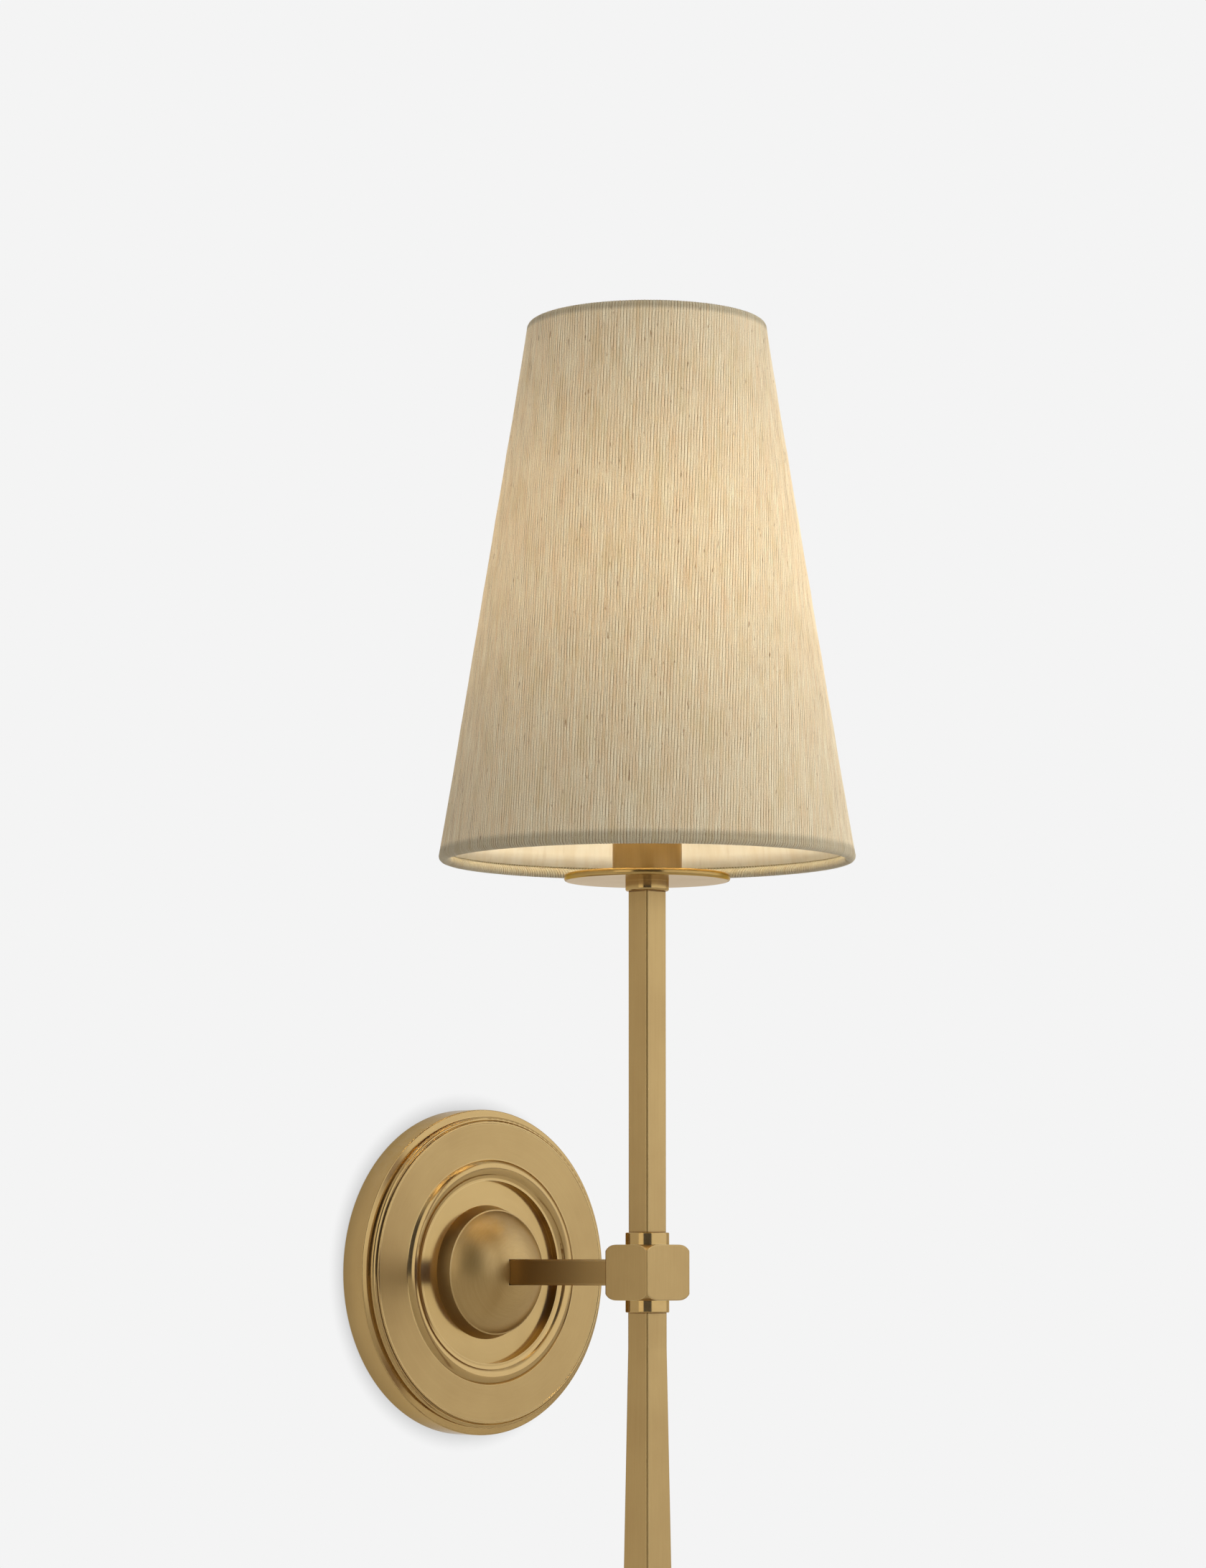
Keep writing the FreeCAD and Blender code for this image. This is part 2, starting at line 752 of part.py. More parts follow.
def make_tail():
    """The bar below the block: straight at first, then flaring evenly to a chamfered end."""
    body = new_body("tail", y=stem_y, z=-stem_start, turn=HANGING)
    chamfer, end_chamfer = S["stem_chamfer"], S["tail_end_chamfer"]
    straight, length = S["tail_straight"], S["tail_length"]
    top_side, end_side = S["tail_top_side"], S["tail_end_side"]
    pad(body, chamfered_square(top_side, chamfer), straight)
    sections = []
    for level, side in ((straight, top_side), (length - end_chamfer, end_side),
                        (length, end_side - end_chamfer * 2)):
        section = new_sketch(body, "XY_Plane", level)
        draw_path(section, chamfered_square(side, chamfer))
        sections.append(section)
    flare = body.newObject("PartDesign::AdditiveLoft", "tail_flare")
    flare.Profile = sections[0]
    flare.Sections = sections[1:]
    flare.Ruled = True
    doc.recompute()
    drill(body, tube_fit, S["tapped_depth"])


def make_joint_tubes():
    """The three alike tubes that hold the arm, the stem and the tail to the block."""
    length, sink = S["joint_tube_length"], S["joint_tube_sink"]
    members = [
        make_tube("tube_up", block_top - sink, length, y=stem_y, member=True),
        make_tube("tube_down", block_top - sink, length, y=stem_y, turn=HANGING, member=True),
        make_tube("tube_back", block_back + sink - length, length, turn=FROM_WALL, member=True),
    ]
    group("joint_tubes", members)


# ---- drip disc and lamp holder --------------------------------------------------------------------

def make_disc():
    body = new_body("drip_disc", y=stem_y, z=disc_under)
    thickness = S["disc_thickness"]
    pad_circle(body, S["disc_radius"], thickness)
    drill(body, tube_fit)
    round_rims(body, [(S["disc_radius"], 0), (S["disc_radius"], thickness)], S["disc_edge_round"])


def make_cup():
    body = new_body("holder_cup", y=stem_y, z=head_z)
    radius, wall, height = S["cup_radius"], S["cup_wall"], S["cup_height"]
    revolve(body, [
        (tube_fit, 0),
        (radius, 0),
        (radius, height),
        (radius - wall, height),
        (radius - wall, wall),
        (tube_fit, wall),
    ])


def make_holder():
    body = new_body("lamp_holder", y=stem_y, z=head_z)
    neck = S["cup_radius"] - S["cup_wall"] - S["running_gap"]
    flange = fitter_seat - S["holder_flange_height"]
    sleeve_top = fitter_seat + S["sleeve_height"]
    bore = S["shell_radius"] + S["slip"]
    rivet = S["contact_rivet_radius"] + S["slip"]
    revolve(body, [
        (tube_fit, holder_start),
        (neck, holder_start),
        (neck, flange),
        (S["holder_flange_radius"], flange),
        (S["holder_flange_radius"], fitter_seat),
        (S["sleeve_radius"], fitter_seat),
        (S["sleeve_radius"], sleeve_top),
        (bore, sleeve_top),
        (bore, web_top),
        (rivet, web_top),
        (rivet, cavity_end),
        (S["holder_cavity_radius"], cavity_end),
        (S["holder_cavity_radius"], cavity_start),
        (tube_fit, cavity_start),
    ])


def make_holder_contacts():
    shell = new_body("screw_shell", y=stem_y, z=head_z)
    radius, wall = S["shell_radius"], S["shell_wall"]
    shell_top = web_top + S["shell_height"]
    revolve(shell, [
        (S["shell_floor_radius"], web_top),
        (radius, web_top),
        (radius, shell_top),
        (radius - wall, shell_top),
        (radius - wall, web_top + wall),
        (S["shell_floor_radius"], web_top + wall),
    ])
    contact = new_body("centre_contact", y=stem_y, z=head_z)
    half, thickness, rise = S["contact_half_length"], S["contact_sheet"], S["contact_rise"]
    bend = half / 2
    low, high = web_top, web_top + rise
    pad(contact, [
        (-half, low),
        (-bend, low),
        (bend, high),
        (half, high),
        (half, high + thickness),
        (bend - thickness / 2, high + thickness),
        (-bend - thickness / 2, low + thickness),
        (-half, low + thickness),
    ], S["contact_width"], plane="XZ_Plane", midplane=True)
    pad_circle(contact, S["contact_rivet_radius"], S["holder_web"] + thickness, lift=cavity_end)


def make_leads():
    """The two leads, from the holder down the stem, round in the block and along the arm."""
    bend, level = S["lead_bend"], head_z + lead_top
    for label, across in (("live_lead", S["lead_offset"]), ("neutral_lead", -S["lead_offset"])):
        body = new_body(label, y=stem_y)
        route = new_sketch(body, "YZ_Plane", across)
        draw_path(route, [(0, level), (0, bend), (bend, 0, bend), (S["reach"] - lead_mouth, 0)],
                  closed=False)
        section = new_sketch(body, "XY_Plane", level)
        draw_circle(section, across, 0, S["lead_radius"])
        sweep(body, section, route)


def make_terminals():
    members = []
    for label, across in (("terminal_live", S["lead_offset"]),
                          ("terminal_neutral", -S["lead_offset"])):
        body = new_body(label, y=stem_y, z=head_z, member=True)
        pad_circle(body, S["terminal_radius"], S["terminal_height"], lift=lead_top, across=across)
        members.append(body)
    group("lead_terminals", members)


# ---- bulb: heights from its contact ---------------------------------------------------------------

def make_bulb():
    spot = {"y": stem_y, "z": head_z + bulb_tip}
    button, button_top = S["bulb_button_radius"], S["bulb_button_height"]
    cap_start = button_top + S["bulb_insulator_height"]
    cap_top = cap_start + S["bulb_cap_height"]
    cap, cap_inner = S["bulb_cap_radius"], S["bulb_cap_radius"] - S["bulb_cap_wall"]
    contact = new_body("bulb_contact", **spot)
    revolve(contact, [(0, 0), (button / 2, 0), (button, button_top), (0, button_top)])
    insulator = new_body("bulb_insulator", **spot)
    revolve(insulator, [(0, button_top), (button, button_top), (cap, cap_start), (0, cap_start)])
    screw_cap = new_body("bulb_cap", **spot)
    revolve(screw_cap, rectangle(cap_inner, cap_start, cap, cap_top))

    glass = new_body("bulb_glass", **spot)
    wall, radius, neck = S["glass_wall"], S["glass_radius"], S["glass_neck_radius"]
    bottom, top = cap_top - S["glass_sunk"], S["glass_top"]
    neck_top, shoulder = S["glass_neck_top"], S["glass_shoulder_top"]
    revolve(glass, [
        (neck, bottom),
        (neck, neck_top),
        (radius, shoulder),
        (radius, top - radius),
        (0, top, radius),
        (0, top - wall),
        (radius - wall, top - radius, wall - radius),
        (radius - wall, shoulder),
        (neck - wall, neck_top),
        (neck - wall, bottom),
    ])

    mount = new_body("bulb_mount", **spot)
    seat, rod = neck - wall - S["slip"], S["mount_rod_radius"]
    star_thickness = S["filament_wire_radius"] * 2
    filament_top = S["filament_start"] + S["filament_length"]
    rod_top = filament_top + star_thickness
    revolve(mount, [
        (0, bottom),
        (seat, bottom),
        (rod, S["mount_flare_top"]),
        (rod, rod_top),
        (0, rod_top),
    ])

    filaments = new_body("bulb_filaments", **spot)
    first = pad_circle(filaments, S["filament_radius"], S["filament_length"],
                       lift=S["filament_start"], across=S["filament_circle"])
    pattern(filaments, first, S["filament_count"])

    members = []
    half, reach = S["filament_wire_radius"], S["filament_circle"] + S["filament_radius"]
    for label, height in (("star_below", S["filament_start"] - star_thickness),
                          ("star_above", filament_top)):
        star = new_body(label, member=True, **spot)
        pad_circle(star, rod + star_thickness, star_thickness, lift=height)
        bar = pad(star, rectangle(0, -half, reach, half), star_thickness, lift=height)
        pattern(star, bar, S["filament_count"])
        drill(star, rod + S["slip"] / 2, lift=height)
        members.append(star)
    group("filament_supports", members)


# ---- shade --------------------------------------------------------------------------------------

def shade_radius(height):
    """Radius of the cone through both wire rings at a height."""
    fall = (S["bottom_ring_radius"] - S["top_ring_radius"]) / (
        S["top_ring_height"] - S["bottom_ring_height"])
    return S["bottom_ring_radius"] - fall * (height - S["bottom_ring_height"])


def make_fabric():
    """The outer cover: a tapered wall whose ends are rolled round the two wire rings."""
    body = new_body("shade_fabric", y=stem_y, z=head_z, turn=TO_WALL)
    low, high = S["bottom_ring_height"], S["top_ring_height"]
    roll = S["hem_roll_radius"]
    outer = roll - S["hem_stand_out"]
    inner = outer - S["fabric_thickness"]
    revolve(body, [
        (shade_radius(low) + inner, low),
        (shade_radius(low) + outer, low),
        (shade_radius(high) + outer, high),
        (shade_radius(high) + inner, high),
    ])
    wire_room = S["ring_wire_radius"] + S["slip"] / 2
    for ring, height in ((S["bottom_ring_radius"], low), (S["top_ring_radius"], high)):
        revolve_circle(body, ring, height, roll)
    for ring, height in ((S["bottom_ring_radius"], low), (S["top_ring_radius"], high)):
        revolve_circle(body, ring, height, wire_room, "Groove")
    arm = S["spider_wire_radius"]
    leg = S["top_ring_radius"] - S["spider_inset"]
    notch = pocket(body, rectangle(leg - arm - S["running_gap"], high - roll * 2,
                                   leg + arm + S["slip"], high + S["slip"]),
                   (arm + S["slip"]) * 2, plane="XZ_Plane", midplane=True)
    pattern(body, notch, S["spider_arms"])


def make_lining():
    body = new_body("shade_lining", y=stem_y, z=head_z)
    margin = S["hem_roll_radius"] + S["running_gap"]
    low, high = S["bottom_ring_height"] + margin, S["top_ring_height"] - margin
    outer = S["hem_roll_radius"] - S["hem_stand_out"] - S["fabric_thickness"] - S["running_gap"]
    inner = outer - S["lining_thickness"]
    revolve(body, [
        (shade_radius(low) + inner, low),
        (shade_radius(low) + outer, low),
        (shade_radius(high) + outer, high),
        (shade_radius(high) + inner, high),
    ])


def make_bottom_ring():
    body = new_body("bottom_ring", y=stem_y, z=head_z)
    revolve_circle(body, S["bottom_ring_radius"], S["bottom_ring_height"], S["ring_wire_radius"])


def make_spider():
    """The welded carrier: top ring, three cranked arms and the ring that seats on the holder."""
    body = new_body("top_ring_carrier", y=stem_y, z=head_z, turn=TO_WALL)
    pad_circle(body, S["fitter_radius"], S["fitter_thickness"], lift=fitter_seat)
    drill(body, S["sleeve_radius"] + S["running_gap"], lift=fitter_seat)
    wire, bend = S["spider_wire_radius"], S["spider_bend"]
    root = S["clamp_ring_radius"] + S["running_gap"]
    leg = S["top_ring_radius"] - S["spider_inset"]
    level = fitter_seat + wire
    route = new_sketch(body, "XZ_Plane")
    draw_path(route, [
        (root, level),
        (leg - bend, level),
        (leg, level + bend, bend),
        (leg, S["top_ring_height"]),
    ], closed=False)
    section = new_sketch(body, "YZ_Plane", root)
    draw_circle(section, 0, level, wire)
    arm = sweep(body, section, route)
    pattern(body, arm, S["spider_arms"])
    revolve_circle(body, S["top_ring_radius"], S["top_ring_height"], S["ring_wire_radius"])


def sweep(body, section, route):
    pipe = body.newObject("PartDesign::AdditivePipe", body.Label + "_sweep")
    pipe.Profile = section
    pipe.Spine = (route, [f"Edge{number + 1}" for number in range(len(route.Geometry))])
    doc.recompute()
    return pipe


def make_clamp_ring():
    """The fluted ring that screws down on the holder's sleeve and clamps the carrier."""
    body = new_body("clamp_ring", y=stem_y, z=head_z)
    start, height = fitter_seat + S["fitter_thickness"], S["clamp_ring_height"]
    pad_circle(body, S["clamp_ring_radius"], height, lift=start)
    drill(body, S["sleeve_radius"] + S["running_gap"], lift=start)
    flute = drill(body, S["clamp_flute_radius"], lift=start,
                  across=S["clamp_ring_radius"] + S["clamp_flute_radius"] / 2)
    pattern(body, flute, S["clamp_ring_flutes"])


# ---- the whole light ------------------------------------------------------------------------------

make_bracket()
make_ground_screw()
make_backplate()
make_set_screws()
make_hub()
make_tube("hub_tube", tube_start, arm_start + S["tube_grip"] - tube_start, turn=FROM_WALL)
make_washer()
make_nut("hub_nut", tube_start + S["tube_stick_out"], S["hub_nut_thickness"], turn=FROM_WALL)
make_bushing()
arm_length = block_back - arm_start
make_bar("arm", S["arm_side"], S["arm_chamfer"], arm_length,
         [0, arm_length - S["tapped_depth"]], y=-arm_start, turn=FROM_WALL)
make_block()
make_collar("upper_collar", S["collar_height"], S["collar_edge_round"], [S["collar_height"]],
            y=stem_y, z=block_top)
make_collar("lower_collar", S["collar_height"], S["collar_edge_round"], [S["collar_height"]],
            y=stem_y, z=-block_top, turn=HANGING)
make_joint_tubes()
make_bar("stem", S["stem_side"], S["stem_chamfer"], S["stem_length"],
         [0, S["stem_length"] - S["tapped_depth"]], y=stem_y, z=stem_start)
make_tail()
make_collar("head_collar", S["head_collar_height"], S["head_collar_round"], [0],
            y=stem_y, z=stem_end)
make_disc()
make_cup()
head_tube_start = stem_end - S["tube_grip"]
make_tube("head_tube", head_tube_start, head_z + cavity_start - head_tube_start, y=stem_y)
make_nut("head_nut", S["cup_wall"], S["head_nut_thickness"], y=stem_y, z=head_z)
make_holder()
make_holder_contacts()
make_terminals()
make_leads()
make_bulb()
make_fabric()
make_lining()
make_bottom_ring()
make_spider()
make_clamp_ring()

doc.recompute()
for item in doc.Objects:
    check_state(item)

os.makedirs("parts", exist_ok=True)
for node in nodes:
    if node.Shape.isNull() or not node.Shape.isValid() or not node.Shape.Solids:
        raise RuntimeError(f"{node.Label} has no valid solid")
    node.Shape.exportStep(f"parts/{node.Label}.step")
print(len(nodes), "nodes,", sum(len(node.Shape.Solids) for node in nodes), "solids")
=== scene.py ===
import math

import bmesh
import bpy
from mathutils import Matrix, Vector, noise


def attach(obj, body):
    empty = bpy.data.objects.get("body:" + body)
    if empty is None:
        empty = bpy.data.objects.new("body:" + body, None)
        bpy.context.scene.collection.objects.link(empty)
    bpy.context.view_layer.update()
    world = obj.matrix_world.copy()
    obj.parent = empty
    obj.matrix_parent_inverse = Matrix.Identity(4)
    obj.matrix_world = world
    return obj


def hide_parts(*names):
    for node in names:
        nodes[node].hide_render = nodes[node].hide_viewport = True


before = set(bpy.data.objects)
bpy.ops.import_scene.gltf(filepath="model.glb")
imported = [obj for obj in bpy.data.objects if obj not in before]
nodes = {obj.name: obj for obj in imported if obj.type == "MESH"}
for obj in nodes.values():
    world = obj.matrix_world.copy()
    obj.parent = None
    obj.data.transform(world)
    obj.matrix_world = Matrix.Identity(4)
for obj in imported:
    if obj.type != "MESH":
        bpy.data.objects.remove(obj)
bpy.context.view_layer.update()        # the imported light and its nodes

scene = bpy.context.scene
mm = 0.001
stemY = -96.0 * mm       # the stem's line stands this far out from the wall


def srgb(red, green, blue):
    # shaders take linear values, and these colours are written as 0 to 255
    parts = [value / 255 for value in (red, green, blue)]
    return tuple(part / 12.92 if part <= 0.04045 else ((part + 0.055) / 1.055) ** 2.4
                 for part in parts) + (1.0,)


def grey(level):
    return (level, level, level, 1.0)


# node trees: shader and geometry trees share these helpers

def feed(tree, socket, value):
    if isinstance(value, Term):
        value = value.socket
    if isinstance(value, bpy.types.NodeSocket):
        tree.links.new(value, socket)
    else:
        socket.default_value = value


def addNode(tree, kind, inputs=None, **settings):
    node = tree.nodes.new(kind)
    for name, value in settings.items():
        setattr(node, name, value)
    for key, value in (inputs or {}).items():
        feed(tree, node.inputs[key], value)
    return node


class Term:
    # a number in a node tree that can be added, multiplied and so on
    def __init__(self, tree, socket):
        self.tree = tree
        self.socket = socket

    def do(self, operation, *others):
        node = self.tree.nodes.new("ShaderNodeMath")
        node.operation = operation
        for slot, value in enumerate((self, *others)):
            feed(self.tree, node.inputs[slot], value)
        return Term(self.tree, node.outputs[0])

    def __add__(self, other):
        return self.do("ADD", other)

    def __sub__(self, other):
        return self.do("SUBTRACT", other)

    def __mul__(self, other):
        return self.do("MULTIPLY", other)

    def __truediv__(self, other):
        return self.do("DIVIDE", other)

    def oneMinus(self):
        return self * -1.0 + 1.0

    def clamp(self, low=0.0, high=1.0):
        return self.do("MAXIMUM", low).do("MINIMUM", high)

    def between(self, start, end):
        # 0 at start, 1 at end and smooth in between; start may be the larger one
        node = addNode(self.tree, "ShaderNodeMapRange", {"Value": self, "From Min": start, "From Max": end},
                       interpolation_type="SMOOTHSTEP")
        return Term(self.tree, node.outputs["Result"])


def splitVector(tree, vector):
    outputs = addNode(tree, "ShaderNodeSeparateXYZ", {0: vector}).outputs
    return [Term(tree, output) for output in outputs]


def joinVector(tree, x=0.0, y=0.0, z=0.0):
    return addNode(tree, "ShaderNodeCombineXYZ", {"X": x, "Y": y, "Z": z}).outputs[0]


def scaled(tree, vector, factors):
    return addNode(tree, "ShaderNodeMapping", {"Vector": vector, "Scale": factors}).outputs[0]


def noiseTerm(tree, vector, scale=1.0, detail=2.0, roughness=0.5):
    node = addNode(tree, "ShaderNodeTexNoise", {"Vector": vector, "Scale": scale,
                                                "Detail": detail, "Roughness": roughness})
    return Term(tree, node.outputs["Fac"])


def blendColours(tree, amount, first, second, mode="MIX"):
    node = addNode(tree, "ShaderNodeMix", data_type="RGBA", blend_type=mode)
    feed(tree, node.inputs[0], amount)
    feed(tree, node.inputs[6], first)       # sockets 6 and 7 are the node's two colours
    feed(tree, node.inputs[7], second)
    return node.outputs[2]


def blendShaders(tree, amount, first, second):
    return addNode(tree, "ShaderNodeMixShader", {0: amount, 1: first, 2: second}).outputs[0]


def newGroup(name, inputs, outputs, kind="ShaderNodeTree"):
    # inputs and outputs are (name, socket kind, value) rows
    group = bpy.data.node_groups.new(name, kind)
    for direction, rows in (("INPUT", inputs), ("OUTPUT", outputs)):
        for label, socketKind, value in rows:
            socket = group.interface.new_socket(name=label, in_out=direction,
                                                socket_type="NodeSocket" + socketKind)
            if value is not None:
                socket.default_value = value
    start = group.nodes.new("NodeGroupInput")
    end = group.nodes.new("NodeGroupOutput")
    return group, start.outputs, end.inputs


def useGroup(tree, group, inputs):
    node = tree.nodes.new("ShaderNodeGroup")
    node.node_tree = group
    for key, value in inputs.items():
        feed(tree, node.inputs[key], value)
    return node.outputs


# effects that several finishes share

def makeBrushMarks():
    # fine lines along the third axis of the vector it is given
    group, given, made = newGroup("brushMarks", [
        ("Vector", "Vector", None), ("Fineness", "Float", 1.0)],
        [("Height", "Float", None), ("Streak", "Float", None)])
    fine = noiseTerm(group, given["Vector"], given["Fineness"], 3.0, 0.6)
    broad = noiseTerm(group, scaled(group, given["Vector"], (0.18, 0.18, 0.25)),
                      given["Fineness"], 2.0)
    feed(group, made["Height"], fine * 0.75 + broad * 0.25)
    feed(group, made["Streak"], (fine * 0.5 + broad * 0.5).between(0.3, 0.7))
    return group


def makeTurnedVector():
    # coordinates of a lathe: out from the axis, along it, and slowly round it
    group, given, made = newGroup("turnedVector", [
        ("Centre", "Vector", (0, 0, 0)), ("Axis", "Vector", (0, 0, 1)), ("Round", "Float", 0.02)],
        [("Vector", "Vector", None)])
    place = addNode(group, "ShaderNodeTexCoord").outputs["Object"]

    def vectorMath(operation, first, second=None):
        node = addNode(group, "ShaderNodeVectorMath", {0: first}, operation=operation)
        if second is not None:
            feed(group, node.inputs["Scale" if operation == "SCALE" else 1], second)
        return node.outputs["Value" if operation in ("DOT_PRODUCT", "LENGTH") else "Vector"]

    offset = vectorMath("SUBTRACT", place, given["Centre"])
    along = vectorMath("DOT_PRODUCT", offset, given["Axis"])
    out = vectorMath("SUBTRACT", offset, vectorMath("SCALE", given["Axis"], along))
    x, y, z = splitVector(group, vectorMath("NORMALIZE", out))
    turn = (x + y * 0.7 + z) * given["Round"]
    feed(group, made["Vector"], joinVector(group, vectorMath("LENGTH", out), along, turn))
    return group


def makeAgedBrass():
    # lacquered brass: slow tone changes and brush streaks that darken and dull it at random, and edges made
    # lighter and glossier, partly as rubbed wear and partly as a painted highlight
    group, given, made = newGroup("agedBrass", [
        ("Colour", "Color", (0.5, 0.35, 0.15, 1)), ("Dark", "Color", (0.3, 0.19, 0.07, 1)),
        ("Bright", "Color", (0.7, 0.55, 0.3, 1)), ("Streak", "Float", 0.5),
        ("Streak Amount", "Float", 0.25), ("Edge Radius", "Float", 0.0004),
        ("Edge Amount", "Float", 0.5), ("Gloss", "Float", 0.28)],
        [("Colour", "Color", None), ("Roughness", "Float", None)])
    place = addNode(group, "ShaderNodeTexCoord").outputs["Object"]
    cloud = noiseTerm(group, place, 38.0, 3.0, 0.55).between(0.35, 0.7)
    speck = noiseTerm(group, place, 900.0, 2.0, 0.6).between(0.62, 0.8)
    streak = Term(group, given["Streak"]) * given["Streak Amount"]
    dull = (cloud * 0.22 + streak + speck * 0.08).clamp()
    # an edge is where the rounded normal turns away from the true one
    bevel = addNode(group, "ShaderNodeBevel", {"Radius": given["Edge Radius"]}, samples=4)
    flat = addNode(group, "ShaderNodeNewGeometry").outputs["Normal"]
    same = addNode(group, "ShaderNodeVectorMath", {0: bevel.outputs[0], 1: flat},
                   operation="DOT_PRODUCT").outputs["Value"]
    # the lighter edge colour is a painted highlight as well as rubbed wear
    rubbedAndHighlit = Term(group, same).oneMinus().between(0.004, 0.12) * given["Edge Amount"]
    body = blendColours(group, dull, given["Colour"], given["Dark"])
    feed(group, made["Colour"], blendColours(group, rubbedAndHighlit, body, given["Bright"]))
    rough = Term(group, given["Gloss"]) + dull * 0.10 - rubbedAndHighlit * 0.08
    feed(group, made["Roughness"], rough.clamp(0.05, 0.9))
    return group


def makeFineDust():
    # a thin grey film on what faces up
    group, given, made = newGroup("fineDust", [
        ("Colour", "Color", (0.5, 0.5, 0.5, 1)), ("Roughness", "Float", 0.3), ("Amount", "Float", 0.15)],
        [("Colour", "Color", None), ("Roughness", "Float", None)])
    place = addNode(group, "ShaderNodeTexCoord").outputs["Object"]
    up = splitVector(group, addNode(group, "ShaderNodeNewGeometry").outputs["Normal"])[2]
    film = up.between(0.3, 1.0) * noiseTerm(group, place, 260.0, 4.0, 0.65).between(0.35, 0.7)
    amount = film * given["Amount"]
    feed(group, made["Colour"], blendColours(group, amount, given["Colour"], srgb(198, 192, 182)))
    feed(group, made["Roughness"], (Term(group, given["Roughness"]) + amount * 0.6).clamp())
    return group


brushMarks = makeBrushMarks()
turnedVector = makeTurnedVector()
agedBrass = makeAgedBrass()
fineDust = makeFineDust()


def newMaterial(name):
    material = bpy.data.materials.new(name)
    material.use_nodes = True
    tree = material.node_tree
    shader = tree.nodes["Principled BSDF"]
    place = addNode(tree, "ShaderNodeTexCoord").outputs["Object"]
    return material, tree, shader, place


def bump(tree, shader, height, distance, strength=1.0, normal=None):
    node = addNode(tree, "ShaderNodeBump", {"Height": height, "Distance": distance, "Strength": strength})
    if normal is not None:
        feed(tree, node.inputs["Normal"], normal)
    feed(tree, shader.inputs["Normal"], node.outputs[0])


def setSurface(tree, surface):
    feed(tree, tree.nodes["Material Output"].inputs["Surface"], surface)


def letLampIn(tree, surface, share):
    # rays from lamps pass in part, so that the bulb lights what is outside its glass and its shade
    path = addNode(tree, "ShaderNodeLightPath").outputs
    clear = addNode(tree, "ShaderNodeBsdfTransparent", {"Color": share}).outputs[0]
    setSurface(tree, blendShaders(tree, path["Is Shadow Ray"], surface, clear))


brassValues = {
    "colour": srgb(168, 137, 81),
    "dark": srgb(146, 113, 60),
    # bright is the edge colour: rubbed wear and a painted highlight
    "bright": srgb(212, 186, 132),
    "grazing": srgb(224, 202, 158),   # what the metal mirrors at a low angle
    "gloss": 0.25,                    # roughness of a clean, flat spot
    "streak": 0.22,                   # how much the brush marks darken and dull it
    "edge": 0.55,                     # how much the edges are lightened, as rubbed wear and as a painted highlight
    "edgeRadius": 0.35 * mm,
    "roundRadius": 0.7 * mm,          # how far the polish rounds an edge over
    "coat": 0.60,
    "coatRoughness": 0.35,
    "lines": 9000.0,                  # brush marks to the metre
    "relief": 0.0014 * mm,
    "ringDrift": 0.0015,              # how slowly a lathe mark changes round the axis
    "satinFade": 0.5 * mm,
    "dust": 0.12,
}


def makeBrass(name, axis=None, centre=(0, 0, 0), drawn=(1, 1, 0.02), satin=None, **changes):
    # axis makes lathe rings about it, and otherwise drawn stretches the grain along a bar;
    # satin is (inner radius, outer radius, roughness) of a band that is brushed, not polished
    values = {**brassValues, **changes}
    material, tree, shader, place = newMaterial(name)
    if axis is None:
        vector = scaled(tree, place, drawn)
    else:
        vector = useGroup(tree, turnedVector, {"Centre": centre, "Axis": axis,
                                               "Round": values["ringDrift"]})["Vector"]
    marks = useGroup(tree, brushMarks, {"Vector": vector, "Fineness": values["lines"]})
    brass = useGroup(tree, agedBrass, {
        "Colour": values["colour"], "Dark": values["dark"], "Bright": values["bright"],
        "Streak": marks["Streak"], "Streak Amount": values["streak"],
        "Edge Radius": values["edgeRadius"], "Edge Amount": values["edge"], "Gloss": values["gloss"]})
    dusty = useGroup(tree, fineDust, {"Colour": brass["Colour"], "Roughness": brass["Roughness"],
                                      "Amount": values["dust"]})
    rough = Term(tree, dusty["Roughness"])
    if satin:
        inner, outer, bandRoughness = satin
        radius, fade = splitVector(tree, vector)[0], values["satinFade"]
        band = radius.between(inner - fade, inner) * radius.between(outer + fade, outer)
        rough = rough + band * (bandRoughness - values["gloss"])
    feed(tree, shader.inputs["Base Color"], dusty["Colour"])
    feed(tree, shader.inputs["Roughness"], rough)
    shader.inputs["Metallic"].default_value = 1.0
    shader.inputs["Specular Tint"].default_value = values["grazing"]
    shader.inputs["Coat Weight"].default_value = values["coat"]
    shader.inputs["Coat Roughness"].default_value = values["coatRoughness"]
    rounded = None
    if axis is None:
        rounded = addNode(tree, "ShaderNodeBevel", {"Radius": values["roundRadius"]}, samples=6).outputs[0]
    bump(tree, shader, marks["Height"], values["relief"], normal=rounded)
    return material


plainValues = {
    "grain": 220.0,          # mottles to the metre
    "fineGrain": 1980.0,
    "relief": 0.01 * mm,
    "dust": 0.10,
}


def makePlain(name, colour, darker, metallic, rough, relief=plainValues["relief"]):
    # small and hidden pieces: mottled and slightly uneven
    material, tree, shader, place = newMaterial(name)
    mottle = noiseTerm(tree, place, plainValues["grain"], 4.0, 0.6)
    fine = noiseTerm(tree, place, plainValues["fineGrain"], 2.0, 0.6)
    tone = blendColours(tree, mottle.between(0.35, 0.68), colour, darker)
    dusty = useGroup(tree, fineDust, {"Colour": tone, "Roughness": mottle * 0.12 + rough - 0.06,
                                      "Amount": plainValues["dust"]})
    feed(tree, shader.inputs["Base Color"], dusty["Colour"])
    feed(tree, shader.inputs["Roughness"], dusty["Roughness"])
    shader.inputs["Metallic"].default_value = metallic
    bump(tree, shader, mottle * 0.5 + fine * 0.5, relief)
    return material


